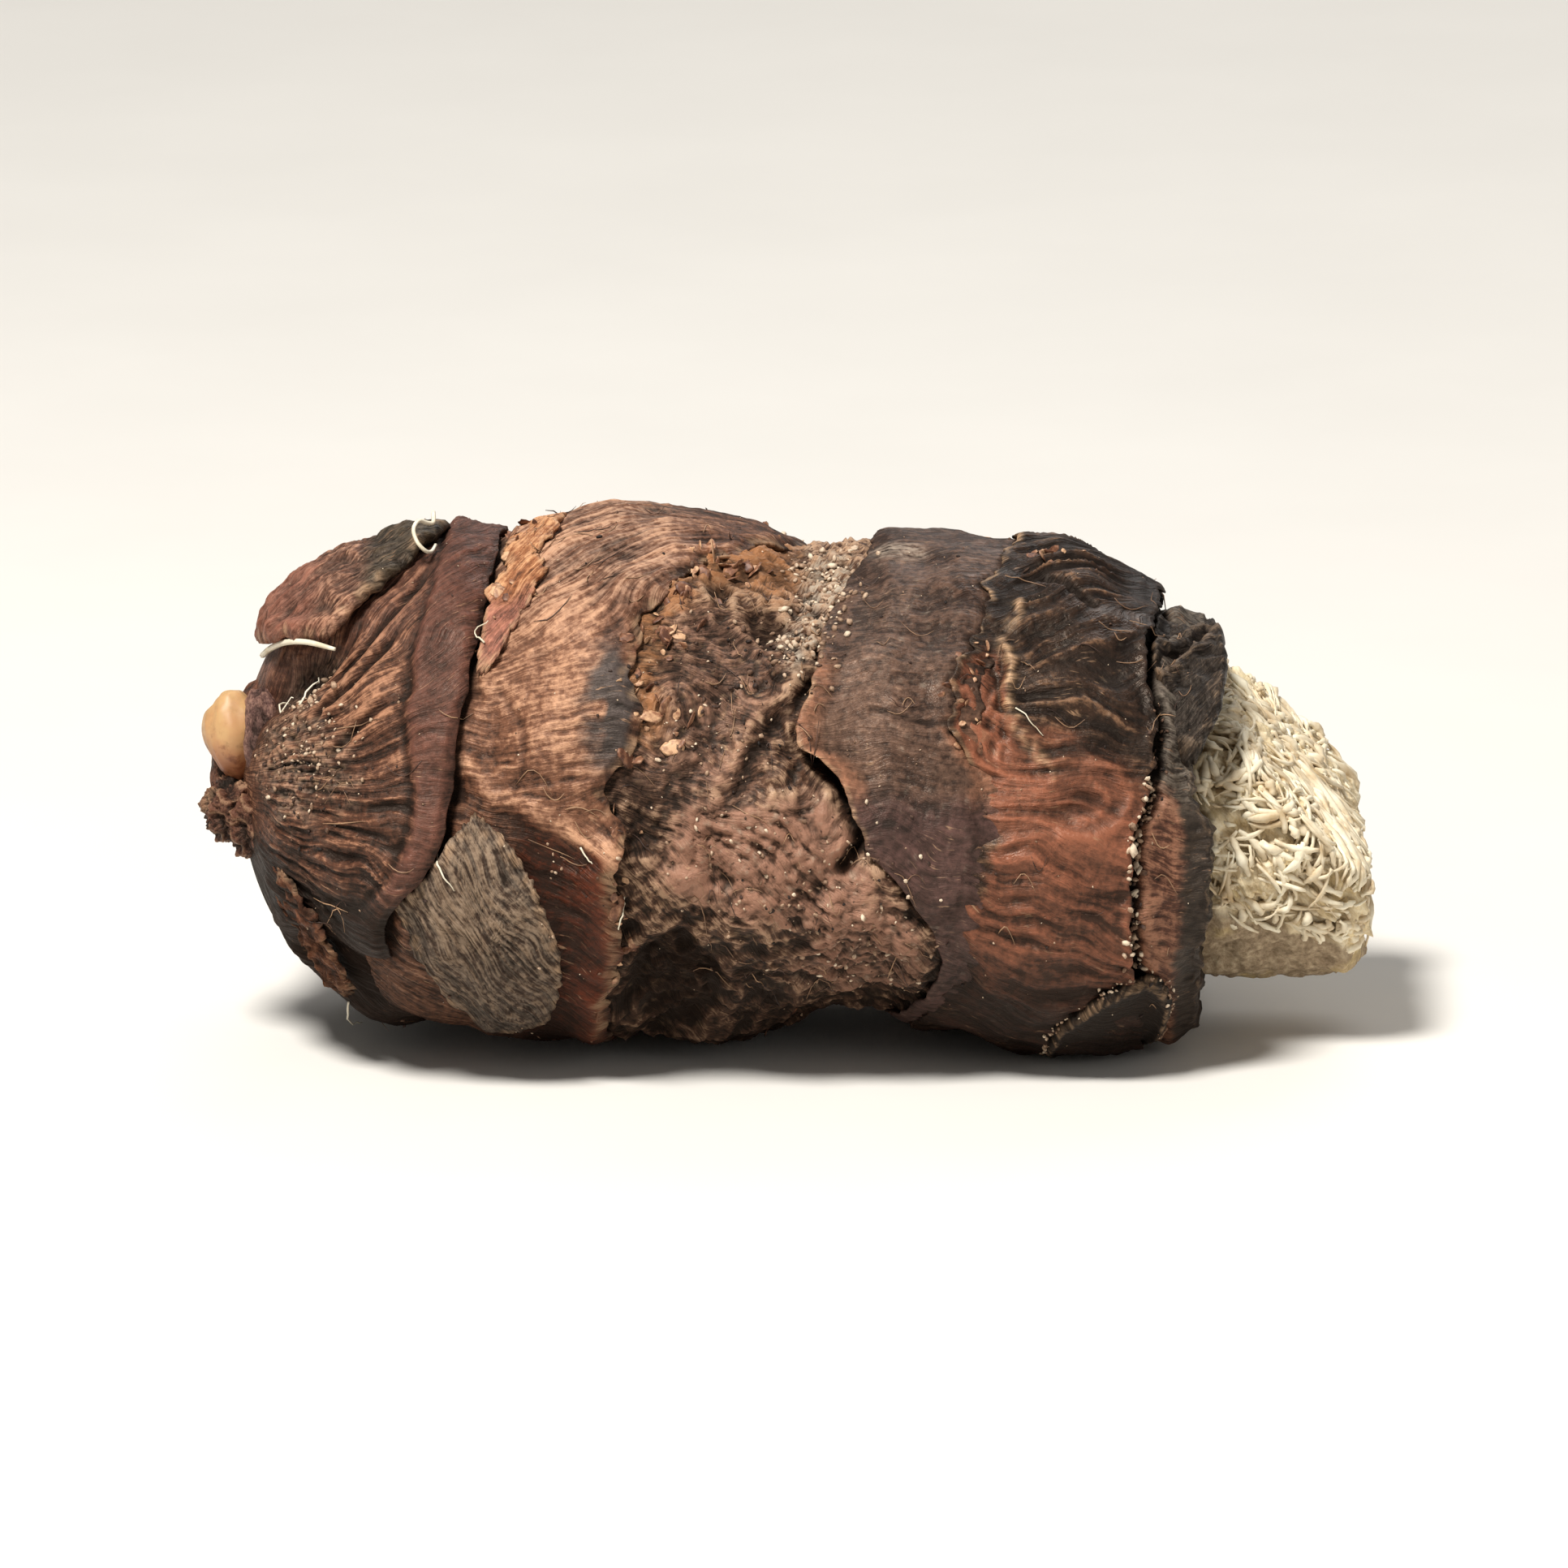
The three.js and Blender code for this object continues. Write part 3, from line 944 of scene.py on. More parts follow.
def tan_surface(u, turn):
    """The tan ring: fine lengthwise ribs, a blue-grey bruise, and a coppery fold low on the front."""
    noise, fine, plain = Noise(111), Noise(112), plain_places(u, turn)
    from_tip, to_edge = u - TIP_EDGE(turn), TAN_EDGE(turn) - u
    front = smooth(120, 80, np.abs(turn))
    skew = front * (3.4 * smooth(30, 62, turn) - 2.2 * smooth(12, -2, turn))
    ribs, fibre = ribbed(noise, u, turn, skew, about=-13.0, pitch=0.8, sway=1.6)
    band = (turn - 14 + 2.2 * (u + 18.3)) * DEGREE
    below = smooth(0.9, -0.9, band + 0.6 * noise(plain / 1.6)) * smooth(-140, -95, turn)
    lift = ground(u, turn) - 0.05 + (0.13 + 0.05 * bell(turn, 14, 12)) * ribs
    lift += 0.2 * bell(band, 0.6, 0.7) * front - 0.4 * below
    lift -= 0.4 * smooth(0.9, 0.0, to_edge) * smooth(4, 12, turn)
    lift += 0.16 * smooth(1.6, 0.1, to_edge) * smooth(-0.3, 0.4, noise(plain / 2.0 + 12) + 0.1)
    low = within(turn, -150, -120, -34, -24)
    frays = noise(plain / 1.5 + 5)
    lift -= 0.55 * smooth(1.1, 0.0, from_tip + 0.4 * frays) * (1 - low)
    lift -= 0.25 * low * smooth(1.2, -1.2, from_tip)
    ridge = within(turn, -70, -45, -8, 4)
    lift += ridge * (0.7 * smooth(2.6, 0.8, to_edge) - 0.3 * smooth(0.8, 0.0, to_edge))
    lift -= ridge * 0.4 * bell(to_edge, 3.4, 1.0)
    lift -= 1.5 * smooth(6.0, 1.0, from_tip) * within(turn, -150, -110, -80, -58)
    woolly = smooth(38, 62, turn) * smooth(-4, -8, u) * smooth(130, 105, turn)
    lift += 0.16 * woolly * fine.cloud(fibre * [2.5, 1.2, 1.2], 3)
    crescent, fade = faded_line(
        u, turn, [[-16.6, 36], [-15.7, 32], [-14.7, 25], [-14.5, 20], [-14.9, 14]], 0.2, 0.8
    )
    fold = bell(crescent, 0, 0.2) * fade
    lift += 0.05 * bell(crescent, 0.45, 0.3) - 0.08 * fold
    lift += 0.03 * fine.cloud(plain / 0.6, 2)
    # Painted shade in the gap beside the tip's edge, in the fold and under the tip.
    dark_gap = smooth(0.9, 0.0, from_tip + 0.5 * frays) * (1 - 0.7 * low)
    under_tip = within(turn, -120, -95, -76, -58) * smooth(5, 1, from_tip)
    hollow = most(dark_gap, 0.2 * fold, 0.8 * under_tip)
    bruise = mound(u, turn, (-9.6, 27), (1.9, 3.8)) * smooth(-0.9, 0.3, noise(plain / 1.5 + 33))
    pale = mound(u, turn, (-13.0, 40), (4.0, 6.5)) + 0.5 * bell(band, 0.9, 0.9) * front * smooth(-6, -12, u)
    glow = below * smooth(-15.5, -13.5, u) * smooth(-60, -40, turn)
    light = -0.2 + 0.42 * pale - 0.15 * below + 0.18 * ribs - 0.3 * smooth(85, 115, np.abs(turn))
    light += 0.25 * ridge * bell(to_edge, 0.6, 0.5)
    light += woolly * (0.22 + 0.4 * noise(fibre * [2.0, 0.8, 0.8] + 40))
    coppery = 0.95 * below * smooth(-16, -14, u) + 0.3 * smooth(100, 140, np.abs(turn))
    tone = packed(light, 1.2 * bruise, coppery)
    torn = smooth(0.7, 0.1, to_edge) * smooth(-0.2, 0.4, noise(plain / 1.0 + 50))
    wear = packed(hollow, 0.5 * torn + 0.3 * glow * bell(to_edge, 0.5, 0.3), 0.2 * woolly)
    return lift, fibre, tone, wear


def knotted_surface(u, turn):
    """Bare, knotted skin between two rings, with a big rough swelling low on the front."""
    noise, fine, plain = Noise(121), Noise(122), plain_places(u, turn)
    from_tan, to_satin = u - TAN_EDGE(turn), SATIN_EDGE(turn) - u
    skew = 3.0 * within(turn, 30, 60, 110, 150) - 2.8 * within(turn, -120, -80, -2, 16)
    ribs, fibre = ribbed(noise, u, turn, skew, about=0.0, pitch=0.8, stretch=4.0, sway=6.0)
    lumps = noise.cloud(plain / 3.2, 4, 0.6)
    knots = fine.ridges(plain / 1.5)
    grain = fine.cloud(plain / 0.55, 2, 0.7)
    swelling = most(
        mound(u, turn, (1.8, -4), (4.8, 4.6)),
        0.9 * mound(u, turn, (-2.6, -2), (5.0, 4.2)),
        0.9 * mound(u, turn, (4.4, -26), (4.6, 5.4)),
    )
    swelling = smooth(0.15, 0.7, swelling + 0.12 * noise(plain / 2.0 + 70))
    swelling *= smooth(-0.4, 1.6, to_satin)
    threads = fine.ridges(fibre * [1.5, 1.7, 1.7] + 31)
    recess = 1.3 * mound(u, turn, (-6.4, -38), (3.4, 5.0)) + 0.25 * noise(plain / 1.6 + 14)
    recess = smooth(0.3, 0.9, recess)
    bare = smooth(0.8, -2.4, u - 0.04 * (turn - 20)) * within(turn, 4, 14, 48, 66)
    lift = ground(u, turn) - 0.5 + (0.4 - 0.2 * bare) * lumps + (0.2 - 0.14 * bare) * knots + 0.16 * grain
    lift += swelling * (0.78 + 0.26 * ribs + 0.16 * threads - 0.12 * knots) - 1.1 * recess
    lift += 0.14 * (swelling + recess) * fine.cloud(plain / 0.5 + 3, 2, 0.7)
    lift += (1 - swelling) * 0.14 * ribs
    lift -= 0.15 * smooth(1.0, 0.0, from_tan) + 0.2 * smooth(0.6, 0.0, to_satin)
    seam, share, side = line_distance(u, turn, [[1.8, 44], [-0.3, 34], [-1.9, 26], [-3.1, 16], [-4.6, 7]])
    seam_fade = within(share, 0, 0.1, 0.8, 1)
    lift += seam_fade * (0.3 * bell(seam, 0, 0.5) - 0.4 * bell(seam * side, 0.9, 0.5))
    cave = bell(line_distance(u, turn, [[1.7, 21], [3.1, 16], [4.1, 8], [4.4, 0], [3.4, -4]])[0], 0, 0.55)
    pits = mound(u, turn, (-1.0, 54), (1.3, 1.7)) + mound(u, turn, (-3.8, 62), (0.8, 1.6))
    pits = smooth(0.2, 0.9, pits + 0.4 * fine(plain / 0.9 + 8) * pits)
    lift -= 1.1 * cave + 0.8 * pits
    # Painted shade in the low places between lumps, the cave, the recess, the gap at the tan edge, the pits
    # and beside the seam.
    hollow = most(
        0.5 * smooth(0.0, -0.6, lumps) * (1 - 0.85 * swelling),
        0.95 * cave,
        recess * (0.7 + 0.4 * knots),
        0.6 * smooth(0.9, 0.0, from_tan) * smooth(2, -10, turn),
        0.8 * pits,
        0.5 * seam_fade * bell(seam * side, 0.9, 0.4),
    )
    crust = mound(u, turn, (2.6, 74), (1.6, 5.0)) + 0.8 * mound(u, turn, (0.8, 50), (1.3, 2.6))
    crust = smooth(0.25, 0.8, crust + 0.45 * fine(plain / 0.9))
    lift += 0.28 * crust * fine.cloud(plain / 0.7 + 5, 2, 0.7) + 0.25 * crust
    frill = smooth(3.0, 0.5, from_tan) * within(turn, 12, 26, 70, 90)
    olive = within(turn, 50, 76, 100, 125) * smooth(3, -1, u)
    light = swelling * (0.34 + 0.24 * threads) + 0.12 * knots + 0.14 * ribs - 0.13
    light += 0.3 * seam_fade * bell(seam, 0, 0.4)
    # The frill is lighter; the lower front is painted darker, a painted shade on the underside.
    light += 0.3 * frill * smooth(-0.3, 0.4, lumps + knots) - 0.35 * smooth(-12, -34, turn)
    light += 0.24 * within(turn, 34, 58, 110, 140) - 0.12 * bare
    tone = packed(light, most(0.9 * swelling, 0.55 * bare), most(0.85 * olive, 0.75 * frill))
    specks = smooth(0.3, 0.8, fine(plain / 0.35 + 20))
    torn = (0.3 + 0.3 * frill) * specks * (1 - 0.6 * swelling)
    wear = packed(hollow, torn, most(crust, 0.6 * specks * swelling))
    return lift, fibre, tone, wear


def satin_surface(u, turn):
    """The smooth, purple-grey ring. Its left edge is lifted and curled."""
    noise, fine, plain = Noise(131), Noise(132), plain_places(u, turn)
    from_edge, to_copper = u - SATIN_EDGE(turn), COPPER_EDGE(turn) - u
    skew = 1.2 * within(turn, 50, 80, 120, 160) - 1.2 * within(turn, -60, -30, -5, 20)
    ribs, fibre = ribbed(noise, u, turn, skew, about=6.0, pitch=0.7, stretch=7.0, sway=2.5)
    lip = 0.04 + 0.96 * within(turn, -6, 8, 34, 60)
    lift = ground(u, turn) - 0.05 + 0.065 * ribs + 0.03 * fine.cloud(plain / 0.7, 2)
    lift += lip * 0.42 * smooth(1.5, 0.0, from_edge) - 0.12 * smooth(0.5, 0.0, to_copper)
    lift += 0.35 * mound(u, turn, (1.6, 22), (1.3, 1.3))
    lift += 0.12 * noise.cloud(plain / 2.2 + 44, 2) * smooth(24, 0, turn)
    crease, fade = faded_line(u, turn, [[4.6, 30], [7.0, 28], [9.6, 27]], 0.2, 0.7)
    crease = bell(crease, 0, 0.16) * fade
    lift -= 0.16 * crease
    mottle = smooth(0.0, 0.5, noise.cloud(plain / 1.4 + 90, 3, 0.6)) * within(turn, -110, -70, 6, 26)
    seam = smooth(0.5, 0.0, to_copper + 0.2 * noise(plain / 0.8)) * smooth(24, 36, np.abs(turn + 6))
    # Painted shade in the crease and in the seam at the copper edge, with random dark mottling low on the
    # front.
    hollow = most(0.6 * crease, 0.5 * seam, 0.35 * mottle)
    light = 0.14 * ribs - 0.16 - 0.26 * smooth(24, 60, turn) + 0.2 * mound(u, turn, (6.6, 84), (2, 2))
    warm = most(lip * smooth(2.2, 0.2, from_edge), smooth(1.4, 0.0, to_copper) * smooth(40, 20, turn))
    tone = packed(light, 0.9 * warm, 0.85 * within(turn, -100, -70, 4, 18))
    specks = smooth(0.45, 0.9, fine(plain / 0.4 + 20))
    torn = lip * smooth(0.3, 0.05, from_edge) * smooth(-0.5, 0.3, noise(plain / 1.2 + 9))
    notch = smooth(0.3, 0.8, mound(u, turn, (6.6, 84), (2.1, 1.6)))
    wear = packed(hollow, 0.55 * torn, 0.5 * notch + 0.3 * specks)
    return lift, fibre, tone, wear


def copper_surface(u, turn):
    """The last full ring: dark and ribbed on top, coppery and folded below, torn along its left edge."""
    noise, fine, plain = Noise(141), Noise(142), plain_places(u, turn)
    from_edge, to_gap = u - COPPER_EDGE(turn), COLLAR_EDGE(turn) - u
    fan = np.clip((turn - 42) * 0.1, -1.2, 2.4) * smooth(150, 110, turn)
    skew = fan * smooth(16, 28, turn) - 0.9 * within(turn, -90, -50, -6, 14)
    ribs, fibre = ribbed(noise, u, turn, skew, about=12.8, pitch=0.9, sway=3.0)
    slanted = turn + 1.6 * (u - 15) + 6 * noise(plain / 2.6 + 70)
    upper = smooth(12, 36, slanted) * smooth(160, 120, turn)
    pleats = noise.ridges(fibre * [1.3, 0.95, 0.95] + 3) * (1 - upper)
    pleats = 0.6 * pleats + 0.6 * noise.cloud(fibre * [2.0, 0.5, 0.5] + 8, 2) * (1 - upper)
    fan_grooves = noise.ridges(fibre * [0.7, 0.8, 0.8] + 9) * upper * within(u, 12.5, 14.0, 18, 21)
    lift = ground(u, turn) + 0.1 * ribs + 0.28 * pleats + 0.26 * fan_grooves
    lift += 0.03 * fine.cloud(plain / 0.6, 2) + 0.2 * smooth(1.0, 0.2, to_gap)
    curled = smooth(18, 30, turn) * smooth(-0.4, 0.3, noise(plain / 2.5 + 12))
    lift += 0.25 * smooth(1.2, 0.1, from_edge) * curled
    lift -= 0.4 * smooth(1.5, 0.0, from_edge) * within(turn, -60, -40, 14, 24)
    torn_line, fade = faded_line(
        u, turn,
        [[13.6, 66], [13.1, 58], [12.4, 50], [12.9, 44], [12.4, 36], [13.2, 28], [14.6, 20], [15.6, 13]],
        0.08, 0.8,
    )
    tear = bell(torn_line, 0, 0.34) * fade
    inside = smooth(0.1, 0.7, from_edge) * smooth(12.9, 12.1, u) * within(turn, 17, 24, 44, 52)
    tear *= smooth(-0.7, 0.1, noise(plain / 0.9 + 15))
    lift += 0.34 * tear - 0.3 * inside + 0.2 * inside * fine.ridges(plain / [0.7, 1.5, 1.5] + 4)
    slit = bell(line_distance(u, turn, [[14.9, 72], [16.1, 69], [17.4, 64]])[0], 0, 0.3)
    swirl, share, _ = line_distance(
        u, turn, [[15.3, 20], [16.9, 22.5], [18.6, 20], [19.7, 14], [19.1, 8], [17.5, 4], [15.7, 4]]
    )
    inner, _, _ = line_distance(u, turn, [[16.3, 15], [17.4, 16.5], [18.3, 12.5], [17.7, 8.5], [16.6, 7]])
    lift += 0.26 * bell(swirl, 0, 0.4) + 0.08 * bell(inner, 0, 0.25)
    pit = mound(u, turn, (17.2, 12), (1.6, 1.6))
    lift -= 0.6 * pit + 0.6 * slit
    # Painted shade in the slit, the pit, the gap before the collar and the fan's grooves.
    hollow = most(
        0.7 * slit,
        0.7 * pit * (1 - bell(inner, 0, 0.3)),
        0.6 * smooth(0.5, 0.0, to_gap + 0.2 * noise(plain / 0.8)),
        0.4 * smooth(0.2, -0.6, fan_grooves) * upper * within(u, 13, 14.5, 18, 20.5),
    )
    copper = (1 - upper) * smooth(170, 120, np.abs(turn))
    copper *= smooth(-0.4, 1.6, from_edge + 1.2 * noise(plain / [2.5, 1.4, 1.4] + 61))
    # deep is the underside: it and the lower front are painted darker, and deep goes towards the dark
    # second accent, as painted shade.
    deep = within(turn, -150, -110, -45, -14)
    light = 0.14 * ribs + 0.14 * pleats + 0.2 * fan_grooves - 0.4 * deep - 0.3 * upper
    light -= 0.16 * within(turn, 56, 78, 140, 180)
    light -= 0.22 * smooth(4, -14, turn) * (1 - deep)
    light += 0.3 * bell(swirl, 0, 0.3) * smooth(0.4, 0.8, share) + 0.2 * inside
    tone = packed(light, np.clip(copper - 0.6 * deep + inside, 0, 1), 0.9 * deep)
    frayed = smooth(0.4, 0.05, from_edge) * smooth(14, 24, turn)
    frayed *= smooth(-0.2, 0.4, noise(plain / 1.1 + 31))
    torn = most(
        0.7 * frayed,
        0.95 * tear * smooth(-0.5, 0.2, fine(plain / 0.6)),
        0.2 * inside * smooth(0.2, 0.7, fine(plain / 0.5 + 3)),
    )
    wear = packed(hollow, torn, 0.15 * smooth(0.5, 0.9, fine(plain / 0.4)))
    return lift, fibre, tone, wear


# Name, left side, right side, rows, surface and skin. A side is (edge, hem, mm that it runs on).
RINGS = (
    ("tip_leaf_base", None, (TIP_EDGE, FREE_HEM, 0.0), 140, tip_surface, "tip_skin"),
    ("tan_leaf_base", (TIP_EDGE, TUCKED_HEM, 1.6), (TAN_EDGE, FREE_HEM, 0.0), 104, tan_surface, "tan_skin"),
    ("knotted_band", (TAN_EDGE, TUCKED_HEM, 1.6), (SATIN_EDGE, TUCKED_HEM, 1.6), 100, knotted_surface,
     "knotted_skin"),
    ("satin_leaf_base", (SATIN_EDGE, FREE_HEM, 0.0), (COPPER_EDGE, TUCKED_HEM, 1.6), 80, satin_surface,
     "satin_skin"),
    ("copper_leaf_base", (COPPER_EDGE, FREE_HEM, 0.0), (COLLAR_EDGE, FREE_HEM, -0.3), 92, copper_surface,
     "copper_skin"),
)
RING_COLUMNS = 560


def build_rings():
    tip, tan, knotted, satin, copper = (
        leaf_base(name, left, right, rows, RING_COLUMNS, surface, skin_finish(skin_name))
        for name, left, right, rows, surface, skin_name in RINGS
    )
    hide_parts(NODE)
    return [tip, tan, knotted, satin, copper]


def collar_shape(row, turn, rows):
    """The last strip of skin, its rim, and the end face behind it, as places and attributes."""
    noise, fine = Noise(151), Noise(152)
    skin_rows, rim_rows = int(rows * 0.5), int(rows * 0.2)
    share = np.clip((row - 2) / (skin_rows - 2), 0, 1)
    rim = np.clip((row - skin_rows) / rim_rows, 0, 1)
    face = np.clip((row - skin_rows - rim_rows) / (rows - 1 - skin_rows - rim_rows), 0, 1)
    left_u = COLLAR_EDGE(turn) - 1.0
    u = left_u + (COLLAR_RIM(turn) - left_u) * share
    from_gap = u - COLLAR_EDGE(turn)
    plain = plain_places(u + rim * 1.5 - face * 9, turn)
    ribs, fibre = ribbed(noise, u + rim * 1.5, turn, 0.0 * turn, about=22.0, pitch=0.8, stretch=5.0)
    lumps = noise.cloud(plain / 3.0, 3)
    lift = ground(u, turn) - 0.25 + 0.25 * lumps + 0.14 * ribs - 1.3 * smooth(0.8, -0.6, from_gap)
    lift -= 0.5 * smooth(0.6, 1.0, share) + 0.5 * mound(u, turn, (22.6, 68), (3.0, 7.0))
    places = CHART.at(u, turn, lift)
    centre = CHART.centre(np.full_like(u, CHART.RIM_U))
    out = places[..., 1:] - centre[..., 1:]
    radius = np.hypot(out[..., 0], out[..., 1])
    bend = rim * math.pi / 2
    roll = 0.4 + 0.2 * lumps
    shrunk = radius - roll * (1 - np.cos(bend)) - face * (radius - roll - 4.0)
    ragged = 0.2 * fine.cloud(plain / 1.2, 2)
    places[..., 0] += roll * np.sin(bend) - smooth(0, 0.5, face) * 1.2 + ragged * rim
    places[..., 1:] = centre[..., 1:] + out * (shrunk / radius)[..., None]
    torn_face = noise.cloud(packed(0.0, places[..., 1], places[..., 2]) / 1.8, 4, 0.6)
    places[..., 0] += 0.6 * smooth(0.0, 0.15, face) * torn_face
    places[1] = CHART.at(left_u[1], turn[1], -2.2)
    places[0] = [CHART.RIM_U - 6.0, *centre[0, 0, 1:]]
    places[-1] = [CHART.RIM_U - 0.5, *centre[0, 0, 1:]]
    # Painted shade on the end face behind the rim, deepest in its hollows, and in the gap before the
    # collar.
    hollow = smooth(0.0, 0.25, face) * (0.45 + 0.5 * smooth(0.2, -0.5, torn_face))
    hollow = most(hollow, smooth(0.5, 0.0, from_gap))
    grey = within(turn, 10, 24, 150, 178)
    tone = packed(0.15 * ribs, most(grey, smooth(0.55, 0.9, share)), 0.4 * rim)
    torn = 0.2 * bell(rim, 0.4, 0.3) * smooth(0.1, 0.5, fine(plain / 0.6))
    wear = packed(hollow, torn, 0.25 * grey)
    row_mm, column_mm = 0.1, 360 * DEGREE / (turn.shape[1] - 1)
    return places, skin_attributes(fibre, tone, wear, lift, turn, row_mm, column_mm)


def build_collar():
    rows, columns = finely(70, 480)
    shape = functools.partial(collar_shape, rows=rows)
    return closed_grid("collar", rows, columns, shape, skin_finish("collar_skin"))


# --- Separate scales and patches of skin ---


def flat_skin(noise, u, turn, skew, pitch, about, stretch=6.0):
    ribs, fibre = ribbed(noise, u, turn, skew + 0.0 * turn, about, pitch, stretch)
    return ribs, fibre, plain_places(u, turn)


def folded_lobe():
    """The old sheath that stands out over the bud, cut off square at its left end."""
    noise = Noise(201)

    def surface(u, turn, reach):
        ribs, fibre, plain = flat_skin(noise, u, turn, 3.0, 0.8, about=-27.0)
        lift = 0.6 + 0.7 * smooth(-23, -30, u) + 0.4 * noise.cloud(plain / 2.2, 3) + 0.12 * ribs
        lift -= 0.5 * smooth(70, 100, turn) + 1.5 * smooth(90, 113, turn)
        lift += 0.3 * bell(reach, 0.88, 0.12) * smooth(70, 50, turn)
        light = -0.05 + 0.12 * smooth(-25, -29, u) + 0.14 * ribs - 0.25 * smooth(-25, -22, u)
        tone = packed(light, 0.9 * smooth(-24, -28, u), 0.8 * smooth(-24.5, -22.5, u))
        wear = packed(0.0, 0.5 * bell(reach, 0.95, 0.06) * smooth(0, 0.5, noise(plain / 0.8)), 0.12)
        return lift, fibre, tone, wear

    outline = [[-30.6, 104], [-31.2, 92], [-31.2, 80], [-31.0, 69], [-29.7, 61], [-28.3, 56], [-27.0, 52],
               [-25.6, 50], [-24.4, 53], [-22.9, 60], [-20.9, 70], [-19.3, 84], [-19.4, 98], [-22.0, 110],
               [-26.0, 115], [-29.2, 113]]
    finish = skin_finish("lobe_skin")
    return scale_piece("folded_lobe", outline, (-25.6, 80), 60, 220, 1.5, surface, finish, 0.25, 202)


def grey_patch():
    """A leftover of an older, fibrous scale, low on the front."""
    noise = Noise(211)

    def surface(u, turn, reach):
        ribs, fibre, plain = flat_skin(noise, u, turn, -5.5, 0.42, about=-17.0, stretch=3.0)
        strokes = noise.ridges(fibre * [2.2, 2.4, 2.4] + 17)
        lift = -0.05 + 0.18 * noise.cloud(plain / 2.6, 2) + 0.1 * ribs + 0.25 * smooth(1.0, 0.4, reach)
        lift += 0.07 * strokes
        torn = smooth(0.82, 0.97, reach) * smooth(-0.2, 0.4, noise(plain / 0.7 + 4))
        # Graded lighter towards the top and darker towards the bottom, where it goes towards the dark
        # second accent: painted shade on its lower part.
        light = 0.15 * ribs + 0.2 * strokes + 0.12 * smooth(-30, -4, turn) - 0.25 * smooth(-28, -46, turn)
        return lift, fibre, packed(light, 0.0, 0.5 * smooth(-34, -48, turn)), packed(0.0, 0.6 * torn, 0.2)

    outline = [[-21.6, -13], [-20.9, -11], [-19.7, -5], [-18.4, 2], [-17.6, 6], [-16.9, 6.5], [-15.5, 2],
               [-14.4, -5], [-13.5, -13], [-12.8, -23], [-12.7, -33], [-13.6, -42], [-15.4, -47],
               [-17.4, -45], [-19.0, -36], [-20.2, -26], [-21.2, -17]]
    finish = skin_finish("grey_fibrous_skin")
    return scale_piece("grey_patch", outline, (-17.0, -20), 56, 220, 0.5, surface, finish, 0.3, 212)


SCAR_OUTLINE = [[14.8, -58], [15.0, -49], [15.6, -41], [17.0, -34], [18.7, -29], [20.3, -27], [21.4, -28],
                [22.0, -34], [21.8, -44], [21.2, -56], [20.0, -68], [18.4, -76], [16.6, -76], [15.2, -68]]


def oval_scale():
    """A dark, nearly smooth scar with a raised pale rim, low beside the collar."""
    noise = Noise(221)

    def surface(u, turn, reach):
        ribs, fibre, plain = flat_skin(noise, u, turn, -2.0, 0.8, about=19.0)
        lift = -0.1 + 0.1 * noise.cloud(plain / 2.0, 2) + 0.05 * ribs + 0.32 * bell(reach, 0.9, 0.07)
        lift -= 0.4 * smooth(0.9, 0.2, reach)
        beads = bell(reach, 0.93, 0.03) * smooth(-0.35, 0.2, noise(plain / 0.5)) * smooth(-70, -56, turn)
        tone = packed(-0.35 + 0.1 * ribs, 0.2, 0.0)
        # The sunken middle, inside the raised rim, is darkened as painted shade.
        return lift, fibre, tone, packed(0.6 * smooth(0.88, 0.7, reach), 0.95 * beads, 0.0)

    finish = skin_finish("scar_skin")
    return scale_piece("oval_scar", SCAR_OUTLINE, (18.4, -50), 44, 180, 0.9, surface, finish, 0.2, 222)


def torn_flap():
    """The dark folded flap on top of the collar."""
    noise = Noise(231)

    def surface(u, turn, reach):
        ribs, fibre, plain = flat_skin(noise, u, turn, 5.0, 0.9, about=22.0, stretch=4.0)
        fold, _, _ = line_distance(u, turn, [[21.2, 50], [22.0, 58], [23.2, 66], [24.2, 78]])
        second, _, _ = line_distance(u, turn, [[21.3, 66], [22.2, 72], [22.8, 84]])
        lift = -0.9 + 0.4 * noise.cloud(plain / 2.0, 3) + 0.14 * ribs - 1.2 * smooth(40, 80, turn)
        lift += 0.5 * bell(fold, 0.6, 0.5) - 0.5 * bell(fold, 0, 0.35) + 0.3 * bell(second, 0, 0.4)
        lift += 0.3 * bell(reach, 0.88, 0.1)
        # Painted shade in the fold.
        hollow = 0.7 * bell(fold, 0, 0.3)
        light = 0.12 * ribs + 0.2 * bell(fold, 0.7, 0.3) - 0.25
        rim = bell(reach, 0.95, 0.05) * smooth(-0.1, 0.4, noise(plain / 0.8 + 6))
        tone = packed(light, 0.2 * smooth(24.0, 25.2, u) * smooth(76, 60, turn), 0.0)
        return lift, fibre, tone, packed(hollow, 0.2 * rim * smooth(23.5, 22, u), 0.04)

    outline = [[20.9, 50], [20.9, 62], [21.1, 76], [21.5, 92], [22.4, 104], [23.6, 108], [24.6, 102],
               [25.0, 88], [25.2, 72], [25.2, 58], [24.9, 44], [24.1, 33], [23.2, 26], [22.4, 27],
               [21.6, 38]]
    finish = skin_finish("flap_skin")
    return scale_piece("torn_flap", outline, (23.0, 66), 52, 190, 1.0, surface, finish, 0.25, 232)


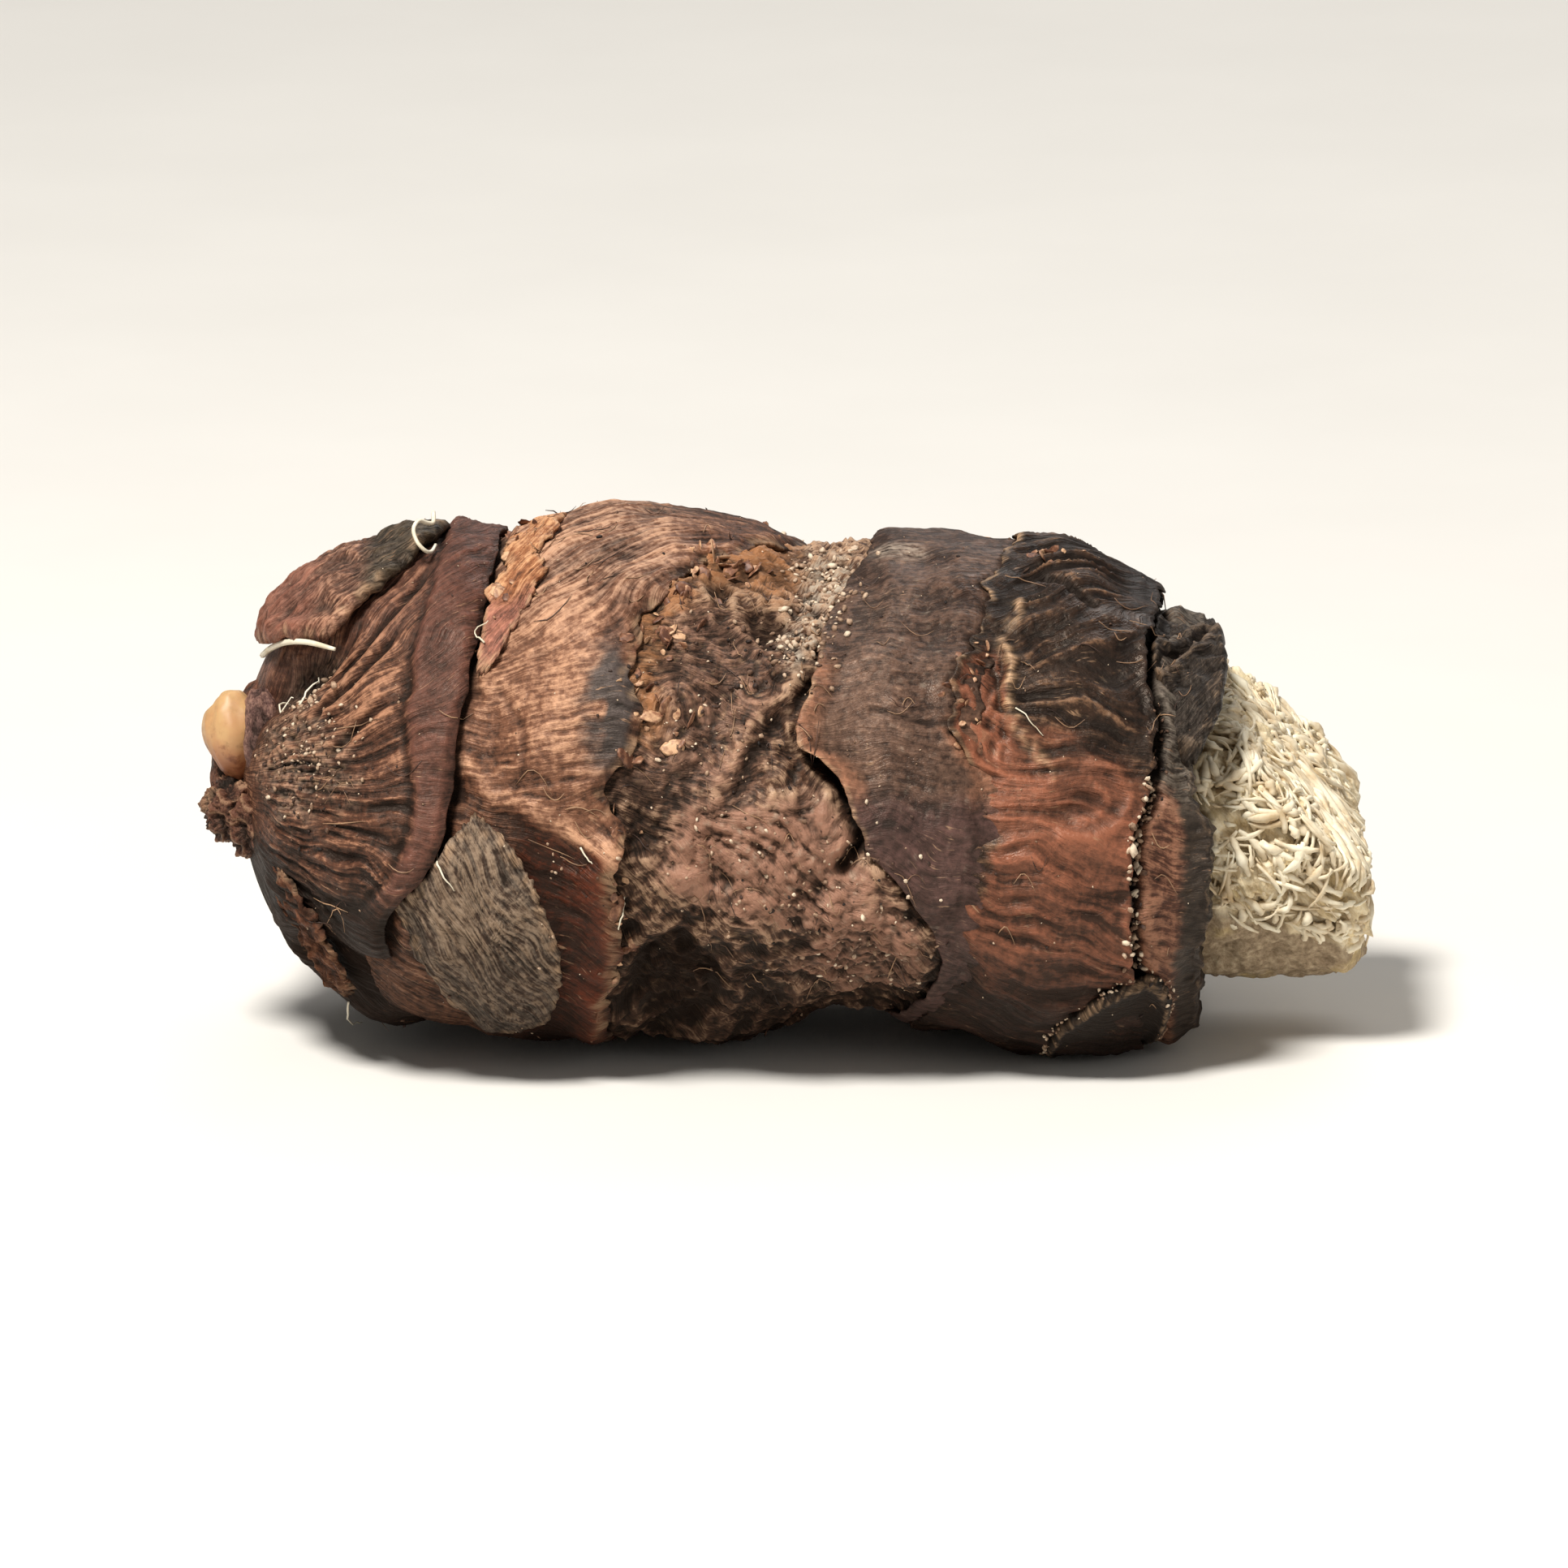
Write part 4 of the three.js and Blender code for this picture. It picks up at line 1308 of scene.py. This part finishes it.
def orange_scraps():
    """Two torn, bright scraps of inner skin that show behind the welt, near the top."""
    noise = Noise(241)

    def surface(u, turn, reach):
        ribs, fibre, plain = flat_skin(noise, u, turn, 5.0, 0.6, about=-15.0, stretch=4.0)
        lift = 0.2 + 0.16 * ribs + 0.25 * noise.cloud(plain / 1.6, 2) - 0.3 * smooth(70, 95, turn)
        torn = smooth(0.7, 0.95, reach) * smooth(-0.3, 0.3, noise(plain / 0.6))
        tone = packed(0.15 * ribs + 0.1, 0.8 * smooth(62, 50, turn), 0.0)
        return lift, fibre, tone, packed(0.0, 0.7 * torn, 0.0)

    finish = skin_finish("inner_skin")
    upper = [[-16.0, 72], [-15.6, 80], [-14.7, 90], [-13.2, 99], [-12.5, 92], [-12.8, 80], [-13.8, 70],
             [-15.2, 63]]
    lower = [[-17.0, 48], [-16.6, 60], [-15.4, 66], [-13.9, 67], [-13.5, 61], [-14.2, 53], [-15.3, 47],
             [-16.4, 39], [-17.3, 38]]
    return [
        scale_piece("inner_scrap_upper", upper, (-14.3, 80), 30, 110, 0.5, surface, finish, 0.35, 242),
        scale_piece("inner_scrap_lower", lower, (-15.5, 55), 30, 110, 0.5, surface, finish, 0.35, 243),
    ]


def lower_rim():
    """The torn coppery rim under the bud, with a hollow behind it."""
    noise = Noise(251)

    def surface(u, turn, reach):
        ribs, fibre, plain = flat_skin(noise, u, turn, 0.0, 0.7, about=-28.0, stretch=3.0)
        lift = -0.1 + 0.35 * noise.cloud(plain / 1.3, 3) + 0.15 * ribs + 0.2 * bell(reach, 0.85, 0.12)
        torn = smooth(0.75, 0.95, reach) * smooth(-0.2, 0.4, noise(plain / 0.6))
        # The rim is darkened all over, more in patches: painted shade for the hollow behind it, under the
        # bud.
        hollow = 0.3 + 0.5 * smooth(-0.1, 0.5, noise(plain / 1.5 + 19))
        return lift, fibre, packed(0.1 * ribs - 0.15, 0.5, 0.0), packed(hollow, 0.45 * torn, 0.0)

    finish = skin_finish("rim_skin")
    outline = [[-30.0, -22], [-29.0, -17], [-27.2, -21], [-25.8, -27], [-24.6, -35], [-23.9, -45],
               [-24.4, -53], [-25.6, -50], [-26.7, -43], [-28.0, -36], [-29.4, -30]]
    return scale_piece("lower_rim", outline, (-27.0, -32), 30, 150, 0.4, surface, finish, 0.5, 252)


# --- The bud and the root stub ---


def bud_finish():
    f = Finish("bud_skin")
    place = f.object_place()
    _, _, height = f.parts(place)
    cloudy = f.noise(place, 420.0, detail=3.0)
    # The bud is painted pale on top, a painted highlight, and darker towards its bottom, a painted shade.
    low = f.remap(height, 0.0185, 0.0150)
    shade = f.sum(f.remap(cloudy, 0.3, 0.7, -0.25, 0.25), low, clamp=True)
    colour = toned_ramp(f, shade, (192, 152, 104), (176, 122, 80), (148, 88, 56), 0.45)
    spots = f.remap(f.noise(place, 900.0, detail=4.0, roughness=0.65), 0.5, 0.66)
    spotted = f.product(spots, f.remap(height, 0.0195, 0.0165, 0.15, 0.8))
    colour = f.mix(spotted, colour, linear(108, 58, 33))
    return f.surface(
        base_color=colour,
        roughness=0.48,
        subsurface_weight=0.15,
        subsurface_radius=(0.0012, 0.0006, 0.0003),
        normal=f.bump(cloudy, 0.00012),
        specular_ior_level=0.5,
    )


def build_bud():
    noise = Noise(301)

    def bud(way):
        taper = -1.15 * smooth(0.3, -0.8, way[..., 2]) + 0.25 * bell(way[..., 2], 0.45, 0.4)
        lift = taper + 0.16 * noise.cloud(way * 1.4, 2) + 0.06 * noise.ridges(way * 1.7 + 5)
        return lift, {}

    def marked(way, lightness, hollow, torn, crest, swell):
        tone, wear = packed(lightness, 0.0, 0.0), packed(hollow, torn, 0.05)
        return {"fibre": way * 3.0, "tone": tone, "wear": wear, "relief": packed(crest, swell, 0.0)}

    def dark(way):
        relief = noise.cloud(way * 1.6 + 5, 3)
        # Painted shade in the dips; raised places are painted lighter, partly as a painted highlight.
        hollow = np.clip(-relief, 0, 1) * 0.4
        return 0.3 * relief, marked(way, 0.15 * relief, hollow, 0.0, relief, relief)

    def crumbly(way):
        relief = noise.cloud(way * 1.9 + 9, 4, 0.65)
        folds = noise.ridges(way * 1.6 + 3)
        # Painted shade in the dips and between the folds; the fold crests are painted lighter, partly as a
        # painted highlight.
        hollow = 0.9 * smooth(0.2, -0.7, relief + 0.5 * folds)
        torn = 0.4 * smooth(0.55, 0.9, folds)
        return 0.42 * relief + 0.24 * folds, marked(way, 0.3 * folds - 0.1, hollow, torn, relief, folds)

    sheath = skin_finish("bud_sheath")
    clot = skin_finish("root_stub_skin")
    pebble("bud", (-31.15, -2.8, 16.8), (1.7, 1.6, 3.8), -0.16, 56, 72, bud, bud_finish())
    pebble("bud_hood", (-30.3, -1.5, 17.0), (2.2, 1.9, 4.1), 0.38, 56, 72, dark, clot)
    pebble("bud_sheath", (-29.5, -4.0, 17.7), (1.3, 1.9, 3.3), -0.1, 44, 64, dark, sheath)
    pebble("bud_lower_sheath", (-29.9, -4.4, 13.3), (1.9, 1.8, 2.2), -0.3, 64, 88, crumbly, clot)
    pebble("root_stub", (-31.2, -3.4, 13.8), (1.9, 2.3, 1.8), -0.4, 72, 100, crumbly, clot)


# --- Hairs, loose fibres and crumbs ---


def smooth_line(points, count):
    """Points along a soft curve through a few chosen ones."""
    corners = np.array(points, float)
    padded = np.concatenate([2 * corners[:1] - corners[1:2], corners, 2 * corners[-1:] - corners[-2:-1]])
    along = np.linspace(0, len(corners) - 1.0001, count)
    i = along.astype(int)
    t = (along - i)[:, None]
    a, b, c, d = (padded[i + k] for k in range(4))
    return 0.5 * (2 * b + (c - a) * t + (2 * a - 5 * b + 4 * c - d) * t**2 + (3 * b - a - 3 * c + d) * t**3)


def on_skin(landing, points, count):
    """A soft line over the skin through points of [u, turn, mm above the skin]."""
    line = smooth_line(points, count)
    places = []
    for u, turn, above in line:
        place, normal = landing.touch(u, turn)
        places.append(place + normal * above)
    return smooth_line(places, count)


# The hooked hair on top: mm to the right, mm up the skin, mm above it.
HOOK_OUTLINE = [[1.4, -0.2, 0.4], [0.8, 1.0, 0.6], [0.0, 1.6, 0.8], [-0.8, 1.2, 0.8], [-1.1, 0.0, 0.7],
                [-0.6, -1.2, 0.7], [0.3, -1.6, 0.6], [0.9, -2.0, 0.6], [1.0, -3.2, 0.5]]


def pale_hairs(landing):
    """The few pale hairs that catch the eye: an arc over the bud, a hook on top, and short bristles."""
    arc = smooth_line(
        [[-29.8, -1.6, 22.3], [-29.2, -3.8, 23.3], [-28.3, -6.0, 24.2], [-27.0, -7.9, 24.7],
         [-25.4, -9.5, 24.7]], 22
    )
    place, normal = landing.touch(-20.6, 73)
    ahead = np.cross(normal, np.cross([1.0, 0.0, 0.0], normal))
    upward = np.cross(ahead, normal)
    hook = smooth_line(
        [place + right * ahead + up * upward + above * normal for right, up, above in HOOK_OUTLINE], 26
    )
    lines = [
        (arc, np.linspace(0.17, 0.22, len(arc)) * (1 - 0.5 * np.linspace(0, 1, len(arc)) ** 4)),
        (hook, np.linspace(0.1, 0.14, len(hook))),
    ]
    for path, radius in (
        ([[-19.4, -3, 0.15], [-18.9, -6, 0.3], [-18.5, -9, 0.2]], 0.07),
        ([[-11.4, 0, 0.1], [-10.9, -2, 0.3], [-10.5, -3, 0.4]], 0.06),
        ([[-9.0, -12, 0.1], [-9.2, -15, 0.4], [-9.6, -18, 0.5]], 0.07),
        ([[-16.9, 44, 0.1], [-17.1, 46, 0.4], [-16.7, 48, 0.6]], 0.06),
        ([[-28.2, 36, 0.2], [-27.7, 41, 0.5], [-27.6, 46, 0.5]], 0.07),
        ([[-30.2, 40, 0.2], [-29.6, 36, 0.7], [-28.9, 38, 0.5]], 0.07),
        ([[-24.6, -62, 0.1], [-24.1, -70, 0.9], [-23.6, -78, 1.1]], 0.07),
        ([[13.0, 33, 0.1], [13.8, 30, 0.2], [14.6, 26, 0.1]], 0.05),
    ):
        line = on_skin(landing, path, 9)
        lines.append((line, radius * np.linspace(1.0, 0.45, len(line))))
    ivory = hair_finish("ivory_hair", (196, 180, 148), (240, 232, 212), 0.45)
    return strands("pale_hairs", lines, ivory, sides=6)


FIBRE_TAPER = np.array([0.5, 0.9, 1, 1, 0.9, 0.7, 0.35])


def loose_fibres(landing):
    """Fine fibres that have come away from the skin and lie along it."""
    rng = np.random.default_rng(401)
    lines = {"tan_fibres": [], "dark_fibres": []}
    zones = (
        # how many, u range, turn range, degrees a fibre climbs for each mm, mm long
        (16, (-27, -19), (-28, 34), (1.5, 1.5), (1.0, 3.0)),
        (20, (-15, -8), (36, 96), (3.6, 1.2), (0.8, 2.6)),
        (12, (-16, -9), (-4, 20), (-1.8, 1.0), (0.8, 3.0)),
        (40, (-7, 2), (6, 84), (0.0, 9.0), (0.5, 1.6)),
        (40, (-6, 7), (-44, 10), (-3.0, 4.0), (0.6, 2.4)),
        (8, (3, 10), (20, 80), (0.3, 1.5), (0.6, 2.2)),
        (16, (12, 20), (-40, 74), (0.5, 2.5), (0.6, 2.6)),
        (14, (20.4, 22.4), (-40, 80), (0.0, 8.0), (0.5, 1.4)),
        (60, (-26, 22), (100, 300), (0.0, 4.0), (0.6, 3.0)),
    )
    for count, us, turns, (climb, scatter), lengths in zones:
        for _ in range(max(2, int(count * FINENESS))):
            u, turn = rng.uniform(*us), rng.uniform(*turns)
            length = rng.uniform(*lengths)
            slope = climb + rng.normal() * scatter
            along = length / math.hypot(1, slope * DEGREE)
            bow = rng.normal() * 2.0
            ends = abs(rng.normal(size=2)) * 0.22
            path = [
                [u + along * share, turn + slope * along * share + bend, above]
                for share, bend, above in (
                    (0.0, 0.0, 0.02 + ends[0]),
                    (0.33, bow, 0.03),
                    (0.66, bow, 0.03),
                    (1.0, 0.0, 0.02 + ends[1]),
                )
            ]
            line = on_skin(landing, path, len(FIBRE_TAPER))
            radius = rng.uniform(0.022, 0.042)
            kind = "tan_fibres" if rng.random() < 0.7 else "dark_fibres"
            lines[kind].append((line, radius * FIBRE_TAPER))
    strands("tan_fibres", lines["tan_fibres"], hair_finish("tan_hair", (96, 66, 46), (176, 138, 104), 0.5))
    strands("dark_fibres", lines["dark_fibres"], hair_finish("dark_hair", (34, 22, 16), (84, 56, 42), 0.55))


def along_edge(edge, turns, offset, width):
    """Picks places in a strip beside an edge."""

    def pick(rng):
        turn = rng.uniform(*turns)
        return float(edge(np.array([turn]))[0]) + offset + width * rng.normal(), turn

    return pick


def along_scar(rng):
    """Picks places along the part of the scar's rim that can be seen from the front."""
    share = np.array(rng.uniform(-0.02, 0.62))
    u, turn = closed_curve(SCAR_OUTLINE, share)
    return u + 0.12 * rng.normal(), turn + 0.4 * rng.normal()


def oval(u, turn, reach_u, reach_turn):
    """Picks places in a soft oval."""
    return lambda rng: (u + reach_u * rng.normal(), turn + reach_turn * rng.normal())


def anywhere(us, turns):
    return lambda rng: (rng.uniform(*us), rng.uniform(*turns))


def strew_crumbs(landing):
    strewn(
        "pale_crumbs", landing,
        [
            (110, along_edge(COLLAR_EDGE, (-28, 18), -0.1, 0.22), (0.2, 0.55), 0.7, 40),
            (80, along_scar, (0.1, 0.3), 0.8, 40),
            (110, oval(-27.2, 20, 1.9, 8), (0.1, 0.34), 0.7, 30),
            (24, oval(-28.0, 38, 1.4, 4), (0.12, 0.34), 0.7, 30),
            (14, oval(-27.8, 40, 1.1, 5), (0.34, 0.6), 0.8, 30),
            (170, oval(2.3, 72, 1.0, 12), (0.14, 0.55), 0.6, 30),
            (80, oval(0.6, 50, 1.0, 6), (0.12, 0.5), 0.6, 30),
            (130, oval(0.4, -4, 3.4, 11), (0.1, 0.34), 0.6, 30),
            (70, oval(5.4, -28, 2.4, 8), (0.12, 0.44), 0.5, 40),
            (50, oval(-4.6, 26, 2.2, 12), (0.08, 0.26), 0.6, 30),
            (14, oval(-13.2, -8, 0.4, 8), (0.1, 0.24), 0.6, 30),
            (260, anywhere((-28, 23), (-50, 105)), (0.05, 0.15), 0.7, 30),
            (120, anywhere((-28, 23), (105, 310)), (0.06, 0.24), 0.7, 30),
        ],
        crumb_finish("pale_crumb", (112, 84, 64), (172, 142, 116), (222, 202, 176)), 501,
    )
    strewn(
        "dark_crumbs", landing,
        [
            (90, oval(-27.4, 12, 2.2, 10), (0.1, 0.34), 0.6, 30),
            (90, oval(-3.0, 40, 2.6, 14), (0.1, 0.4), 0.6, 30),
            (60, oval(0.0, -10, 4.0, 14), (0.1, 0.34), 0.6, 30),
            (60, along_edge(COLLAR_EDGE, (-30, 40), 0.1, 0.3), (0.14, 0.44), 0.6, 40),
            (70, anywhere((-26, 23), (-50, 105)), (0.08, 0.26), 0.7, 30),
            (120, anywhere((-28, 23), (105, 310)), (0.08, 0.3), 0.7, 30),
        ],
        crumb_finish("dark_crumb", (28, 19, 14), (64, 44, 34), (104, 76, 58)), 502,
    )


def strew_flakes(landing):
    """Thin scraps of skin, mostly along the torn edges."""
    strewn(
        "torn_flakes", landing,
        [
            (70, along_edge(TAN_EDGE, (16, 78), 0.9, 0.9), (0.3, 1.1), 0.12, 34),
            (18, along_edge(TAN_EDGE, (-46, 8), 0.0, 0.4), (0.3, 1.0), 0.1, 34),
            (20, along_edge(COPPER_EDGE, (22, 50), 1.0, 0.7), (0.2, 0.7), 0.12, 36),
            (14, along_edge(TIP_EDGE, (40, 90), 0.9, 0.6), (0.3, 1.2), 0.1, 34),
            (12, oval(15.8, 83, 1.0, 3), (0.3, 0.9), 0.12, 30),
            (60, anywhere((-24, 22), (105, 300)), (0.3, 1.2), 0.1, 24),
        ],
        crumb_finish("torn_flake", (84, 50, 34), (140, 96, 70), (206, 164, 126), 0.5), 503, subdivisions=2,
    )


# --- The broken core ---


class CoreChart:
    """The pale core: rays fan out from a point on its own middle line to its side and to its break."""

    ROOT_X = 21.5  # where the core begins, inside the collar
    FAN_X = 25.6  # where the rays begin to fan out
    BACK_SHARE = 0.2  # share of the rows that lie between the two
    STEPS = 60

    def __init__(self, chart):
        z = chart.middle((self.FAN_X, 0, 0), 2)
        y = chart.middle((self.FAN_X, 0, z), 1)
        self.origin = np.array([self.FAN_X, y, z])
        fans = np.linspace(0, math.pi / 2, self.STEPS + 1)
        self.radii = np.array(
            [[chart.cast(self.origin, self.ray(fan, t)) for t in RAY_TURNS] for fan in fans]
        )

    def ray(self, fan, t):
        return packed(np.sin(fan), -np.cos(t) * np.cos(fan), np.sin(t) * np.cos(fan))

    def at(self, fan, turn, lift):
        along = np.clip(fan / (math.pi / 2) * self.STEPS, 0, self.STEPS - 0.001)
        reach = looked_up(self.radii, along, turn) + lift
        return self.origin + self.ray(fan, np.radians(turn)) * reach[..., None]

    def onto(self, places, lift):
        """Moves places along their rays to the core's face, and behind the fan straight out to its side."""
        off = places - self.origin
        far = np.linalg.norm(off, axis=-1)
        fan = np.arcsin(np.clip(off[..., 0] / far, 0.0, 1.0))
        turn = np.degrees(np.arctan2(off[..., 2], -off[..., 1]))
        landed = self.at(fan, turn, lift)
        landed[..., 0] += np.minimum(off[..., 0], 0.0)
        return landed


def fibrous_share(places):
    """Where the core broke into fibres: its upper part and its end. Below, it broke smooth."""
    x, y, z = places[..., 0], places[..., 1], places[..., 2]
    front = smooth(7.0, 9.2, z + 0.35 * (x - 26.0))
    return most(front, smooth(-1.0, 1.0, y) * 0.7)


def core_finish():
    f = Finish("core_flesh")
    place = f.object_place()
    fibrous, hollow, _ = f.parts(f.attribute("tone"))
    tangled = f.noise(f.attribute("fibre"), 1.6, detail=5.0, roughness=0.7, distortion=0.4)
    blotches = f.noise(place, 300.0, detail=3.0)
    grain = f.noise(place, 2200.0, detail=4.0, roughness=0.65)
    pale = f.ramp(
        tangled, [(0.3, linear(168, 142, 102)), (0.5, linear(232, 212, 174)), (0.7, linear(250, 240, 214))]
    )
    calm = f.ramp(
        grain, [(0.28, linear(112, 94, 72)), (0.5, linear(158, 137, 110)), (0.72, linear(196, 176, 146))]
    )
    share = f.sum(fibrous, f.remap(blotches, 0.3, 0.7, -0.2, 0.2))
    colour = f.mix(f.remap(share, 0.3, 0.7), calm, pale)
    colour = f.mix(f.product(f.remap(blotches, 0.52, 0.68), 0.4), colour, linear(224, 196, 130))
    # Painted shade: the hollows of the break are darkened.
    colour = f.mix(f.product(hollow, 0.8), colour, linear(84, 62, 38))
    normal = f.bump(tangled, 0.00025, 0.8)
    normal = f.bump(grain, 0.0001, 0.8, normal)
    return f.surface(base_color=colour, roughness=0.8, normal=normal, specular_ior_level=0.3)


def build_core():
    core = CoreChart(CHART)
    noise, fine = Noise(161), Noise(162)
    rows, columns = finely(120, 320)

    def shape(row, turn):
        fan_row = int(rows * core.BACK_SHARE)
        fan = np.clip((row - fan_row) / (rows - fan_row), 0, 1) * math.pi / 2
        back = np.clip(1 - row / fan_row, 0, 1)
        shift = back * (core.FAN_X - core.ROOT_X)
        base = core.at(fan, turn, 0.0 * fan)
        base[..., 0] -= shift
        broken = fibrous_share(base)
        x, y, z = (base[..., axis] for axis in range(3))
        grain_way = packed((0.6 * x - 0.8 * z) / 3.0, 0.8 * x + 0.6 * z, y)
        ridges = noise.ridges(grain_way * 0.8)
        splits = fine.ridges(grain_way * 1.9 + 4)
        lumps = noise.cloud(base / 3.0, 4, 0.55)
        dents = fine.cloud(base / 1.2, 3, 0.6)
        calm = smooth(math.pi / 2, math.pi / 2 - 0.08, fan)
        lift = 0.3 * lumps + 0.14 * dents
        lift += broken * (0.35 * ridges + 0.2 * splits + 0.35 * lumps - 0.75)
        lift += 0.4 * bell(z, 4.6, 0.5) * (1 - broken)
        places = core.at(fan, turn, lift * calm)
        places[..., 0] -= shift
        # Painted shade between the fibre ridges, in the dents, and on the part of the core inside the
        # collar.
        hollow = broken * 0.7 * smooth(0.0, -0.7, ridges) + 0.4 * smooth(-0.1, -0.8, dents)
        hollow = most(hollow, smooth(0.1, 0.8, back))
        tone = packed(broken, np.clip(hollow, 0, 1), 0.0)
        return gathered(places), {"fibre": grain_way, "tone": tone}

    closed_grid("broken_core", rows, columns, shape, core_finish())
    return core


CORE_STRANDS = 1250


def core_fibres(core):
    """Pale strands, matted together, where the core broke. Neighbours lie much the same way."""
    rng = np.random.default_rng(601)
    noise = Noise(602)
    lines = []
    (wanted,) = finely(CORE_STRANDS)
    steps = 8
    while len(lines) < wanted:
        reach = rng.uniform(-0.3, 1.0)
        fan = math.asin(max(reach, 0.0))
        turn = rng.uniform(-70, 180)
        spot = core.at(np.array(fan), np.array(turn), np.array(0.0))
        spot[0] += min(reach, 0.0) * 9.0
        if rng.random() > fibrous_share(spot):
            continue
        low = smooth(14.0, 9.0, spot[2])
        slant = -0.85 + 2.2 * noise(spot / 2.6) + 0.35 * rng.normal() + 0.5 * low
        way = np.array([math.cos(slant) * 0.8, 0.2 * rng.normal(), math.sin(slant)])
        length = rng.uniform(0.9, 3.8)
        bend = 2.2 * noise(spot / 1.8 + 40) + 0.7 * rng.normal() - 0.8 * low
        path = [spot]
        for _ in range(steps - 1):
            way = way + bend / steps * np.cross([0.5, -0.7, 0.5], way)
            way /= np.linalg.norm(way)
            path.append(path[-1] + way * length / steps)
        arch = np.sin(np.linspace(0, math.pi, steps))
        depth = rng.uniform(-0.75, -0.1)
        lift = depth + 0.3 * rng.random() * arch + 0.1 * rng.normal()
        places = core.onto(np.array(path), lift)
        radius = 0.09 + 0.19 * rng.random() ** 1.5
        lines.append((places, radius * (0.5 + 0.5 * arch) * (1 + 0.2 * rng.normal(size=steps))))
    finish = hair_finish("core_strand", (192, 166, 126), (250, 240, 214), 0.6, 700.0)
    return strands("core_fibres", lines, finish, sides=6)


# --- Stage ---


def plain_finish(name, colour, roughness):
    f = Finish(name)
    specks = f.noise(f.object_place(), 40.0, detail=3.0)
    tone = f.ramp(specks, [(0.3, linear(*[c - 3 for c in colour])), (0.7, linear(*colour))])
    return f.surface(base_color=tone, roughness=roughness)


FLOOR_REACH = 3.0  # m


def build_floor():
    mesh = bpy.data.meshes.new("floor")
    bm = bmesh.new()
    bmesh.ops.create_grid(bm, x_segments=1, y_segments=1, size=FLOOR_REACH)
    bm.to_mesh(mesh)
    bm.free()
    floor = bpy.data.objects.new("floor", mesh)
    mesh.materials.append(plain_finish("floor_paper", (226, 222, 215), 0.8))
    bpy.context.scene.collection.objects.link(floor)


def aim(obj, target):
    obj.rotation_euler = (Vector(target) - obj.location).to_track_quat("-Z", "Y").to_euler()


def add_light(name, place, size, power, colour):
    light = bpy.data.lights.new(name, "AREA")
    light.shape = "DISK"
    light.size = size
    light.energy = power
    light.color = colour
    obj = bpy.data.objects.new(name, light)
    obj.location = place
    aim(obj, LIT_POINT)
    bpy.context.scene.collection.objects.link(obj)


# The lights: name, place in m, size in m, watts, colour.
LIGHTS = (
    ("window", (-0.15, -0.22, 0.48), 0.14, 4.3, (1.0, 0.985, 0.955)),
    ("fill", (0.45, -0.35, 0.30), 0.5, 0.4, (1.0, 1.0, 1.0)),
    ("back", (0.12, 0.42, 0.40), 0.4, 0.9, (1.0, 1.0, 1.0)),
)
LIT_POINT = (0.0, 0.0, 0.015)
ROOM_COLOUR = (1.0, 0.98, 0.95, 1.0)
ROOM_STRENGTH = 0.2
CAMERA_ELEVATION = 15.0  # degrees
CAMERA_DISTANCE = 0.80  # m
CAMERA_LENS = 320.0  # mm
CAMERA_DROP = 0.001  # m, how far below the middle of the root it looks


def build_stage():
    build_floor()
    for light in LIGHTS:
        add_light(*light)
    world = bpy.data.worlds.new("studio")
    world.use_nodes = True
    background = world.node_tree.nodes["Background"]
    background.inputs["Color"].default_value = ROOM_COLOUR
    background.inputs["Strength"].default_value = ROOM_STRENGTH
    bpy.context.scene.world = world
    bpy.context.scene.view_settings.view_transform = "Standard"

    camera = bpy.data.objects.new("camera", bpy.data.cameras.new("camera"))
    camera.data.lens = CAMERA_LENS
    camera.data.clip_start = 0.01
    low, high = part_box(NODE)
    target = (low + high) / 2
    target.z -= CAMERA_DROP
    up = math.radians(CAMERA_ELEVATION)
    camera.location = target + Vector((0, -math.cos(up), math.sin(up))) * CAMERA_DISTANCE
    aim(camera, target)
    bpy.context.scene.collection.objects.link(camera)
    bpy.context.scene.camera = camera


# --- The whole root ---

build_stage()
skin = build_rings()
skin += [build_collar(), folded_lobe(), grey_patch(), oval_scale(), torn_flap(), lower_rim()]
skin += orange_scraps()
build_bud()
core_fibres(build_core())
settled = Landing(skin)
pale_hairs(settled)
loose_fibres(settled)
strew_crumbs(settled)
strew_flakes(settled)
